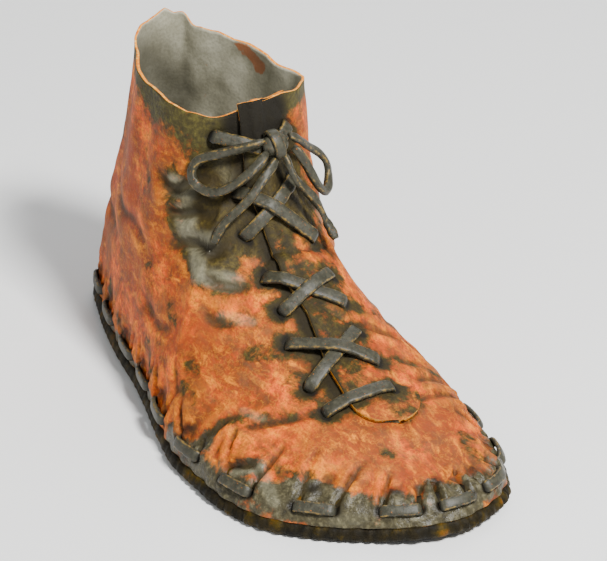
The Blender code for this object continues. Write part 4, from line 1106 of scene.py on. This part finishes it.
def lap_edges(share):
    """Distance down the ridge, outer edge, inner edge and looseness of the lap at a share of its length."""
    straight = LAP_ROWS[-1].arc * SHOE_LENGTH
    arc = LAP_ROWS[0].arc * SHOE_LENGTH + share * (straight - LAP_ROWS[0].arc * SHOE_LENGTH + FLAP_END_RADIUS)
    table = [[row.arc * SHOE_LENGTH for row in LAP_ROWS]] + [[row[k] for row in LAP_ROWS] for k in (1, 2, 3)]
    outer, inner, free = (float(np.interp(arc, table[0], column)) for column in table[1:])
    outer, inner = outer * BALL_WIDTH, inner * BALL_WIDTH
    if arc > straight:
        turn = math.asin(min((arc - straight) / FLAP_END_RADIUS, 0.995))
        middle, half = (outer + inner) / 2, (inner - outer) / 2 * math.cos(turn)
        outer, inner = middle - half, middle + half
    return arc, outer + 0.5 * MM * math.sin(arc / (7 * MM)), inner, free


def lay_lap():
    """The lap's upper face, laid over the hide."""
    rows = []
    for i in range(LAP_ROW_COUNT + 1):
        arc, outer, inner, free = lap_edges((i / LAP_ROW_COUNT) ** 0.92)
        row = []
        for j in range(LAP_COLUMN_COUNT + 1):
            share = j / LAP_COLUMN_COUNT
            point, normal = over_hide(arc, outer + (inner - outer) * share)
            sink = np.clip((share - 0.55) / 0.45, 0, 1) * (1 - free)
            lift = (LAP_CLEAR + FLAP_THICKNESS) * (1 - sink * sink * (3 - 2 * sink)) - LAP_SINK * sink
            row.append(point + normal * lift)
        rows.append(row)
    rows = np.array(rows)
    for _ in range(LAP_SMOOTHINGS):
        rows[1:-1, 0] = 0.5 * rows[1:-1, 0] + 0.25 * (rows[:-2, 0] + rows[2:, 0])
        rows[1:-1, 1:-1] = 0.5 * rows[1:-1, 1:-1] + 0.125 * (rows[:-2, 1:-1] + rows[2:, 1:-1]
                                                             + rows[1:-1, :-2] + rows[1:-1, 2:])
    return rows


LAP = lay_lap()


def push_under(points):
    """The hide's push right under each point, read from the nearest point of the hide."""
    index = KDTree(HIDE.size // 3)
    for i, spot in enumerate(DRESSED.reshape(-1, 3)):
        index.insert(Vector(spot), i)
    index.balance()
    pushes = PUSH.reshape(-1)
    found = [pushes[index.find(Vector(spot))[1]] for spot in points.reshape(-1, 3)]
    return np.array(found).reshape(points.shape[:2])


# The dark band under the rim goes on over the lap's first rows.
lap_band = np.clip(1.4 - np.linspace(0, 168, LAP_ROW_COUNT + 1) / 30, 0, 1)
lap_values = stains_on(LAP, lap_band[:, None] * np.ones(LAP.shape[:2]))
# Its cut edge is made darker, less so round the end.
lap_values["dull"][6:, :] = 0.95
lap_values["dull"][-46:, :] = 0.6
lap_values["trough"], lap_values["crest_highlight"] = crease_shade_and_crest_highlight(push_under(LAP), 12)
lap_mesh = sheet("lap_over_instep", LAP, lap_values)
# The lap's underside gets the dark insole leather as painted shade, where it shows at the edges.
lap = show("lap_over_instep", lap_mesh, HIDE_FINISH, INSOLE_LEATHER, CUT_EDGE)
if np.mean([face.normal.x for face in lap_mesh.polygons]) < 0:
    lap_mesh.flip_normals()
thickness = lap.modifiers.new("thickness", "SOLIDIFY")
thickness.thickness = FLAP_THICKNESS
thickness.offset = -1
thickness.material_offset = 1
thickness.material_offset_rim = 2
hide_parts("upper")
dressed_tree = search_tree(hide_mesh, lap_mesh)
print("lap:", len(lap_mesh.polygons), "faces, ends at x", round(LAP[:, :, 0].max(), 3))

# %% [markdown]
# ## The sole
# The sole is one piece of leather turned up like a tray: it rises inside the hide's edge, comes out under it,
# swells at the side and turns under. Where it was drawn together round the toe its side is gathered into
# small pleats, whose hollows are darkened with painted shade. One sheet makes it, from the middle of the
# tray's floor out and round to the middle of its underside.

# %% The sole
SOLE_COLUMNS = 640
SOLE_NUMBERS = np.linspace(-LAST, LAST, SOLE_COLUMNS + 1)
GATHER_DEPTH, SAG_HEIGHT = 0.0021, 0.0011
# The tray's side inside the hide, up and over and down: height over the hide's edge and inset, in mm.
TRAY_SIDE = ((4.0, 5.1), (8.0, 5.1), (8.0, 2.9), (4.0, 2.9))
# The side in sight, from the hide's edge down to the ground: inset in mm, and share of the edge's height.
SOLE_SIDE = [(0.6, 0.98), (-0.6, 0.93), (-1.7, 0.78), (-2.4, 0.56), (-2.5, 0.36), (-1.8, 0.17), (-0.5, 0.05),
             (1.6, 0.0)]


def gathers(number, run):
    """How deep a pleat of the sole's side is here, 0 to 1, at uneven steps round the shoe."""
    uneven = run / (6.3 * MM) + 0.9 * math.sin(run / (31 * MM)) + 0.5 * math.sin(run / (13 * MM) + 1.1)
    fold = (0.5 + 0.5 * math.cos(2 * math.pi * uneven)) ** 3
    small = (0.5 + 0.5 * math.cos(2 * math.pi * (1.73 * uneven + 0.3))) ** 4
    strength = 0.35 + 0.65 * np.clip((abs(number) - 9) / 3, 0, 1)
    uneven_depth = 0.75 + 0.7 * noise.noise(Vector((run / (11 * MM), 3.0, 1.0)))
    return strength * uneven_depth * max(fold, 0.6 * small)


def sole_row(number, run):
    """One rib of the sole, from the middle of its floor to the middle of its underside, with pleat depths
    that set its painted shade.
    """
    edge, away, other = foot(number), outward(number), foot(-number)
    lift = underside(edge[0], edge[1])
    ground = edge - UP * (LIP_HEIGHT + lift)
    middle = (edge + other) / 2 * [1, 1, 0]
    floor_lift = underside(middle[0], middle[1])
    start = ground - away * 5.4 * MM + UP * (SOLE_THICKNESS + lift)
    points = [middle + UP * (SOLE_THICKNESS + floor_lift), start]
    for height, inset in TRAY_SIDE:
        points.append(place_on_hide(number, share_at(number, height * MM)) - away * inset * MM)
    points.append(edge - away * 2.7 * MM - UP * 0.4 * MM)
    pleat_shade, fold = [0.0] * len(points), gathers(number, run)
    wave = math.sin(run / (9.5 * MM)) + 0.6 * math.sin(run / (5.3 * MM) + 2)
    sag = SAG_HEIGHT * wave * np.clip((abs(number) - 9) / 3, 0.2, 1)
    for inset, height in SOLE_SIDE:
        belly = math.sin(math.pi * min(height, 1.0)) ** 0.6
        push = inset * MM + (GATHER_DEPTH * fold - 0.25 * sag) * belly
        points.append(ground - away * push + UP * (height * LIP_HEIGHT + lift + 0.6 * sag * belly * height))
        pleat_shade.append(fold * belly)
    points += [ground - away * 6 * MM + UP * lift, middle + UP * floor_lift]
    pleat_shade += [0.0, 0.0]
    return points, pleat_shade


sole_runs = np.interp(SOLE_NUMBERS, RUN_NUMBERS, RUN)
sole_made = [sole_row(number, run) for number, run in zip(SOLE_NUMBERS, sole_runs)]
sole_points = np.array([points for points, _ in sole_made])
sole_pleat_shade = np.array([pleat_shade for _, pleat_shade in sole_made])
sole_points[-1] = sole_points[0]
sole = show("sole_tray", sheet("sole_tray", sole_points, {"fold": sole_pleat_shade}, roll=True), SOLE_LEATHER)
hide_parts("sole")
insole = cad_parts["insole"]
insole.data.materials.clear()
insole.data.materials.append(INSOLE_LEATHER)
print("sole:", len(sole.data.polygons), "faces; insole keeps its solid and gets its leather")

# %% [markdown]
# ## Thongs
# A thong is a strip with rounded, rubbed corners. The section is a ring of points, carried along the way and
# turned by the strip's own upward direction, which may twist from end to end.

# %% A thong along a way
# The section's ring of points, across in shares of the width and up in shares of the thickness, and how
# rubbed each of them is.
SECTION = [(-0.50, 0.10), (-0.50, 0.62), (-0.44, 0.88), (-0.34, 1.00), (-0.12, 1.03), (0.12, 1.03),
           (0.34, 1.00), (0.44, 0.88), (0.50, 0.62), (0.50, 0.10), (0.40, 0.0), (-0.40, 0.0), (-0.50, 0.10)]
RUBBED = [0.3, 0.8, 1.0, 0.62, 0.0, 0.0, 0.62, 1.0, 0.8, 0.3, 0.0, 0.0, 0.3]


def thong_mesh(name, way, ups, width, thickness, hole_shade=None, middle=0.0):
    """A strip along its way, darkened with painted shade where its parts go into a hole; middle centres it in
    thickness.
    """
    last = len(way) - 1
    points, worn, dark = [], [], []
    for i, (centre, up) in enumerate(zip(way, ups)):
        along = unit(way[min(i + 1, last)] - way[max(i - 1, 0)])
        across = unit(np.cross(up, along))
        up = unit(np.cross(along, across))
        end = min(1.0, 0.7 + 0.3 * min(i, last - i) / 2)
        swell = 1 + 0.035 * math.sin(i * 0.9) + 0.025 * math.sin(i * 0.37 + 1)
        points.append([centre + across * a * width * end * swell + up * (b - middle) * thickness * end
                       for a, b in SECTION])
        worn.append(RUBBED)
        dark.append([0.0 if hole_shade is None else hole_shade[i]] * len(SECTION))
    values = {"worn": np.array(worn), "hole_shade": np.array(dark)}
    return sheet(name, np.array(points), values, roll=True, caps=True)


def show_thong(name, mesh, node_name):
    """A piece of thong, shown in place of its solid, which is hidden."""
    made = show(name, mesh, THONG)
    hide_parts(node_name)
    return made


def taut(heights):
    """The lowest run over these heights that only bends downwards, as a strap pulled tight lies."""
    steps = range(len(heights))
    run = []
    for i in steps:
        spans = [heights[a] + (heights[b] - heights[a]) * (i - a) / (b - a)
                 for a in steps[:i] for b in steps[i + 1:]]
        run.append(max(spans + [heights[i]]))
    return run


print("thong's section:", len(SECTION), "points")


# %% [markdown]
# ## Laces over the instep
# Each bar comes up out of its hole, lies tight over the lap, and goes down into the next hole. Of each cross
# one bar lies under and the other climbs over it.

# %% Three crosses and a bar
STRANDS = [
    Bar("lace_strand_outer", 0.038, -0.141, 0.068, -0.014),
    Bar("lace_strand_inner", 0.047, 0.133, 0.066, 0.074),
]
BAR_STEPS = 37
BAR_CLEAR, CROSSING_CLEAR = 0.0004, 0.0001
# How deep a lace goes into its hole, and less for the two that end at the knot, above the lining.
LACE_DIP, STRAND_DIP, DIP_REACH = 0.0034, 0.0022, 0.0022


def bar_way(bar, under=None, far_sunk=True):
    """The way of a lace bar over the dressed hide, dipping into its holes, and the painted shade of each
    point where it goes into a hole.
    """
    arcs = np.array([bar.arc_from, bar.arc_to]) * SHOE_LENGTH
    acrosses = np.array([bar.across_from, bar.across_to]) * BALL_WIDTH
    _, _, up = on_ridge(arcs.mean())
    start, end = (over_hide(arc, across)[0] for arc, across in zip(arcs, acrosses))
    side = unit(np.cross(up, end - start)) * LACE_WIDTH / 2
    flat, heights, ground = [], [], []
    for i in range(BAR_STEPS):
        middle = start + (end - start) * i / (BAR_STEPS - 1)
        found = []
        for step in (-1, -0.5, 0, 0.5, 1):
            high = middle + side * step + up * 0.03
            for tree, clear in ((dressed_tree, BAR_CLEAR), (under, CROSSING_CLEAR)):
                hit = tree.ray_cast(Vector(high), Vector(-up))[0] if tree else None
                if hit:
                    found.append(np.dot(np.array(hit) - middle, up) + clear)
        flat.append(middle)
        heights.append(max(found))
    length = np.linalg.norm(end - start)
    way, hole_shade = [], []
    for i, (middle, height) in enumerate(zip(flat, taut(heights))):
        run = length * i / (BAR_STEPS - 1)
        near = min(run, length - run if far_sunk else 1.0)
        dip = np.clip(1 - near / DIP_REACH, 0, 1)
        way.append(middle + up * (height - (LACE_DIP if far_sunk else STRAND_DIP) * dip * dip))
        hole_shade.append(float(np.clip(3.0 * dip - 1.2, 0, 1)))
    return way, [up] * BAR_STEPS, hole_shade


def lace_piece(name, bar, under=None, far_sunk=True):
    """One lace, laid by its row of the table, over another lace if there is one under it."""
    way, ups, hole_shade = bar_way(bar, under, far_sunk)
    return show_thong(name, thong_mesh(name, way, ups, LACE_WIDTH, LACE_THICKNESS, hole_shade), bar.node)


for node_name in dict.fromkeys(bar.node for bar in LACE_BARS):
    under = None
    for count, bar in enumerate([bar for bar in LACE_BARS if bar.node == node_name]):
        piece = lace_piece(f"{node_name}_thong_{count + 1}", bar, under)
        under = search_tree(piece.data)
        print(piece.name, "on", bar.node)

# %% [markdown]
# ## Thong stitches round the edge
# A running stitch of the same thong holds the hide's edge to the sole. What shows are the short straps
# between one hole and the next, pulled tight over the little pocket that they make in the hide.

# %% Stitches
STITCH_STEPS = 25
STITCH_LIFT, STITCH_BOW, STITCH_DIP = 0.0005, 0.0005, 0.0030


def stitch_piece(count, number):
    """One strap of the stitch, from hole to hole along the edge."""
    way, ups, hole_shade = [], [], []
    for i in range(STITCH_STEPS):
        share = i / (STITCH_STEPS - 1) - 0.5
        here = along_edge(number, share * STITCH_LENGTH)
        column = min(int((here + LAST) / (2 * LAST) * COLUMNS), COLUMNS - 1)
        normal = unit(NORMALS[column, np.searchsorted(SHARES, hole_share(here))])
        dip = np.clip(1 - (0.5 - abs(share)) / 0.12, 0, 1)
        lift = STITCH_LIFT + STITCH_BOW * (1 - (2 * share) ** 2) - STITCH_DIP * dip * dip
        way.append(place_on_hide(here, hole_share(here)) + normal * lift)
        ups.append(normal)
        hole_shade.append(float(np.clip(2.5 * dip - 0.8, 0, 1)))
    name = f"sole_stitch_{count:02d}"
    mesh = thong_mesh(name + "_thong", way, ups, STITCH_WIDTH, STITCH_THICKNESS, hole_shade)
    return show_thong(name + "_thong", mesh, name)


stitches = [stitch_piece(count, number) for count, number in enumerate(STITCHES, start=1)]
print("stitches:", len(stitches))

# %% [markdown]
# ## The bow
# Four free lengths hang from the knot: two loops that go back into it and two bare ends. They are flat
# thongs of the same lace, seen mostly on edge, so each is about 4 mm across and twists a little on its way.

# %% Lay the bow
BOW_STEP, BOW_CLEAR = 0.0014, 0.0003
BOW_THICKNESS = 0.62 * CORD_DIAMETER


def smooth_way(points):
    """Points at even steps along a smooth curve through a route's points, which are in millimetres."""
    rows = [np.array(point) * MM for point in points]
    dense = np.array([spline(rows, (len(rows) - 1) * i / 240) for i in range(241)])
    run = np.concatenate([[0.0], np.cumsum(np.linalg.norm(np.diff(dense, axis=0), axis=1))])
    even = np.linspace(0, run[-1], max(12, round(run[-1] / BOW_STEP)) + 1)
    return [np.array([np.interp(at, run, dense[:, k]) for k in range(3)]) for at in even]


def bow_piece(name, twist):
    """One loop or end of the bow, held off the hide, with its flat side turning by its twist in degrees."""
    held = []
    for point in smooth_way(BOW_ROUTES[name]):
        near, normal, _, _ = dressed_tree.find_nearest(Vector(point))
        level = np.dot(point - np.array(near), np.array(normal))
        held.append(point + np.array(normal) * max(0.0, 0.5 * CORD_DIAMETER + BOW_CLEAR - level))
    for _ in range(2):
        held[1:-1] = [0.5 * b + 0.25 * (a + c) for a, b, c in zip(held, held[1:], held[2:])]
    ups = []
    for i, point in enumerate(held):
        _, normal, _, _ = dressed_tree.find_nearest(Vector(point))
        along = unit(held[min(i + 1, len(held) - 1)] - held[max(i - 1, 0)])
        side = unit(np.cross(np.array(normal), along))
        up = unit(np.cross(along, side))
        turn = math.radians(np.interp(i / (len(held) - 1), np.linspace(0, 1, len(twist)), twist))
        ups.append(up * math.cos(turn) + side * math.sin(turn))
    mesh = thong_mesh(name + "_thong", held, ups, CORD_DIAMETER, BOW_THICKNESS, None, 0.5)
    made = show_thong(name + "_thong", mesh, name)
    length = sum(float(np.linalg.norm(b - a)) for a, b in zip(held, held[1:]))
    return length


TWISTS = {"bow_loop_outer": (60, 20, -30, -10, 40, 20), "bow_loop_inner": (30, 50, 20, -30, 30, 60),
          "bow_end_outer": (20, -25, 15, -20, -35), "bow_end_inner": (10, 35, -20, 25, -30)}
for name, twist in TWISTS.items():
    print(name, round(bow_piece(name, twist), 3), "m long")

# %% [markdown]
# The knot is what the two laces make when they are pulled tight: a small hard lump, with one turn of thong
# round the middle of it that runs down the ridge.

# %% The knot and the two top laces
KNOT_ARC, KNOT_ACROSS = 0.066 * SHOE_LENGTH, 0.030 * BALL_WIDTH
KNOT_WIDTH, KNOT_HEIGHT, KNOT_DEPTH, KNOT_LIFT = 0.0125, 0.0110, 0.0078, 0.0016
TURN_WIDTH, TURN_THICKNESS, TURN_STEPS = 0.0054, 0.0019, 40


def knot_lump(centre, ahead, up):
    """The lump under the turn: a rounded form, pinched at its waist, with the folds of the two laces."""
    bm = bmesh.new()
    bmesh.ops.create_uvsphere(bm, u_segments=40, v_segments=26, radius=0.5)
    worn = bm.verts.layers.float.new("worn")
    for vert in bm.verts:
        x, y, z = vert.co
        fold = 0.06 * math.sin(14 * z + 3 * y) * (1 - abs(2 * y) ** 3)
        waist = 1 - 0.16 * math.exp(-(y / 0.14) ** 2)
        grown = (1 + fold) * waist
        vert[worn] = max(0.0, 8 * fold)
        vert.co = Vector(centre + ACROSS * y * KNOT_WIDTH
                         + (ahead * z * KNOT_HEIGHT + up * x * KNOT_DEPTH) * grown)
    return finished(bm, "knot_lump")


def knot_turn(centre, ahead, up):
    """The turn of thong round the lump, a closed strip."""
    points = []
    for i in range(TURN_STEPS + 1):
        angle = 2 * math.pi * i / TURN_STEPS
        high, forward = math.cos(angle) * 0.5 * (KNOT_DEPTH + 1.0 * MM), math.sin(angle) * 0.56 * KNOT_HEIGHT
        lean = ACROSS * (1.0 * MM * math.sin(angle) - 0.3 * MM)
        away = unit(up * math.cos(angle) / KNOT_DEPTH + ahead * math.sin(angle) / KNOT_HEIGHT)
        points.append([centre + up * high + ahead * forward + lean + ACROSS * a * TURN_WIDTH
                       + away * (b - 0.5) * TURN_THICKNESS
                       for a, b in SECTION])
    return sheet("knot_turn", np.array(points), {"worn": np.array([RUBBED] * len(points))}, roll=True)


surface, _ = over_hide(KNOT_ARC, KNOT_ACROSS)
_, ridge_ahead, ridge_up = on_ridge(KNOT_ARC)
lap_top = dressed_tree.ray_cast(Vector(surface + ridge_up * 0.02), Vector(-ridge_up))[0]
knot_centre = np.array(lap_top) + ridge_up * (KNOT_DEPTH / 2 + KNOT_LIFT)
for make in (knot_lump, knot_turn):
    show_thong(make.__name__, make(knot_centre, ridge_ahead, ridge_up), "bow_knot")
for bar in STRANDS:
    lace_piece(bar.node + "_thong", bar, far_sunk=False)
print("knot at, mm:", np.round(knot_centre / MM, 1))

# %% [markdown]
# ## Floor and light
# The shoe stands on a pale floor that runs up behind it in a curve. The key lamp is small and stands high on
# the camera's right, toward the toe. A weak broad one is on the camera's left, one is behind the shoe, and a
# pale sky fills the shadows.

# %% Pale floor
FLOOR_STEPS, FLOOR_WIDTH, BEND_RADIUS = 48, 5.2, 1.2


def sweep():
    """A floor and a backdrop in one curved sheet: level, then a bend, then upright."""
    rows = []
    for share in np.linspace(0, 1, FLOOR_STEPS + 1):
        turn = np.clip((share - 0.55) / 0.25, 0, 1) * math.pi / 2
        back = 3.2 * min(share, 0.55) / 0.55 + BEND_RADIUS * math.sin(turn)
        high = BEND_RADIUS * (1 - math.cos(turn)) + 1.6 * max(0.0, share - 0.8) / 0.2
        rows.append([(1.6 - back, FLOOR_WIDTH * (j / 12 - 0.5), high) for j in range(13)])
    return np.array(rows)


# Pale board, painted matt: an even, nearly white ground that the shoe's shadow falls on.
floor_finish, floor_tree, floor_shader, floor_where = finish_with("pale_floor_finish", 0.1)
floor_tone = ramp(floor_tree, grain(floor_tree, floor_where, 300), (0.3, "#FAF9F8"), (0.7, "#FDFCFB"))
floor_tree.links.new(floor_tone, floor_shader.inputs["Base Color"])
floor_shader.inputs["Roughness"].default_value = 0.9
floor = bpy.data.objects.new("pale_floor", sheet("pale_floor", sweep()))
floor.data.materials.append(floor_finish)
bpy.context.scene.collection.objects.link(floor)
print("floor from x", round(min(vert.co.x for vert in floor.data.vertices), 2))

# %% Soft lamps
SHOE_MIDDLE = Vector((0.09, 0.0, 0.06))


def lamp(name, where, size, watts, tint="#FFFFFF"):
    """A square soft lamp that looks at the shoe."""
    data = bpy.data.lights.new(name, "AREA")
    data.shape = "SQUARE"
    data.size = size
    data.energy = watts
    data.color = paint(tint)[:3]
    made = bpy.data.objects.new(name, data)
    made.location = where
    made.rotation_mode = "QUATERNION"
    made.rotation_quaternion = (SHOE_MIDDLE - Vector(where)).to_track_quat("-Z", "Y")
    bpy.context.scene.collection.objects.link(made)


lamp("key", (1.25, 0.10, 1.45), 0.35, 76.0, "#FFFCF6")
lamp("fill", (0.2, -1.5, 0.8), 1.2, 5.0, "#F6F9FF")
lamp("back", (-0.9, 0.9, 1.3), 1.0, 12.0)
world = bpy.data.worlds.new("pale_sky")
world.use_nodes = True
world.node_tree.nodes["Background"].inputs["Color"].default_value = paint("#F4F6FA")
world.node_tree.nodes["Background"].inputs["Strength"].default_value = 0.36
bpy.context.scene.world = world
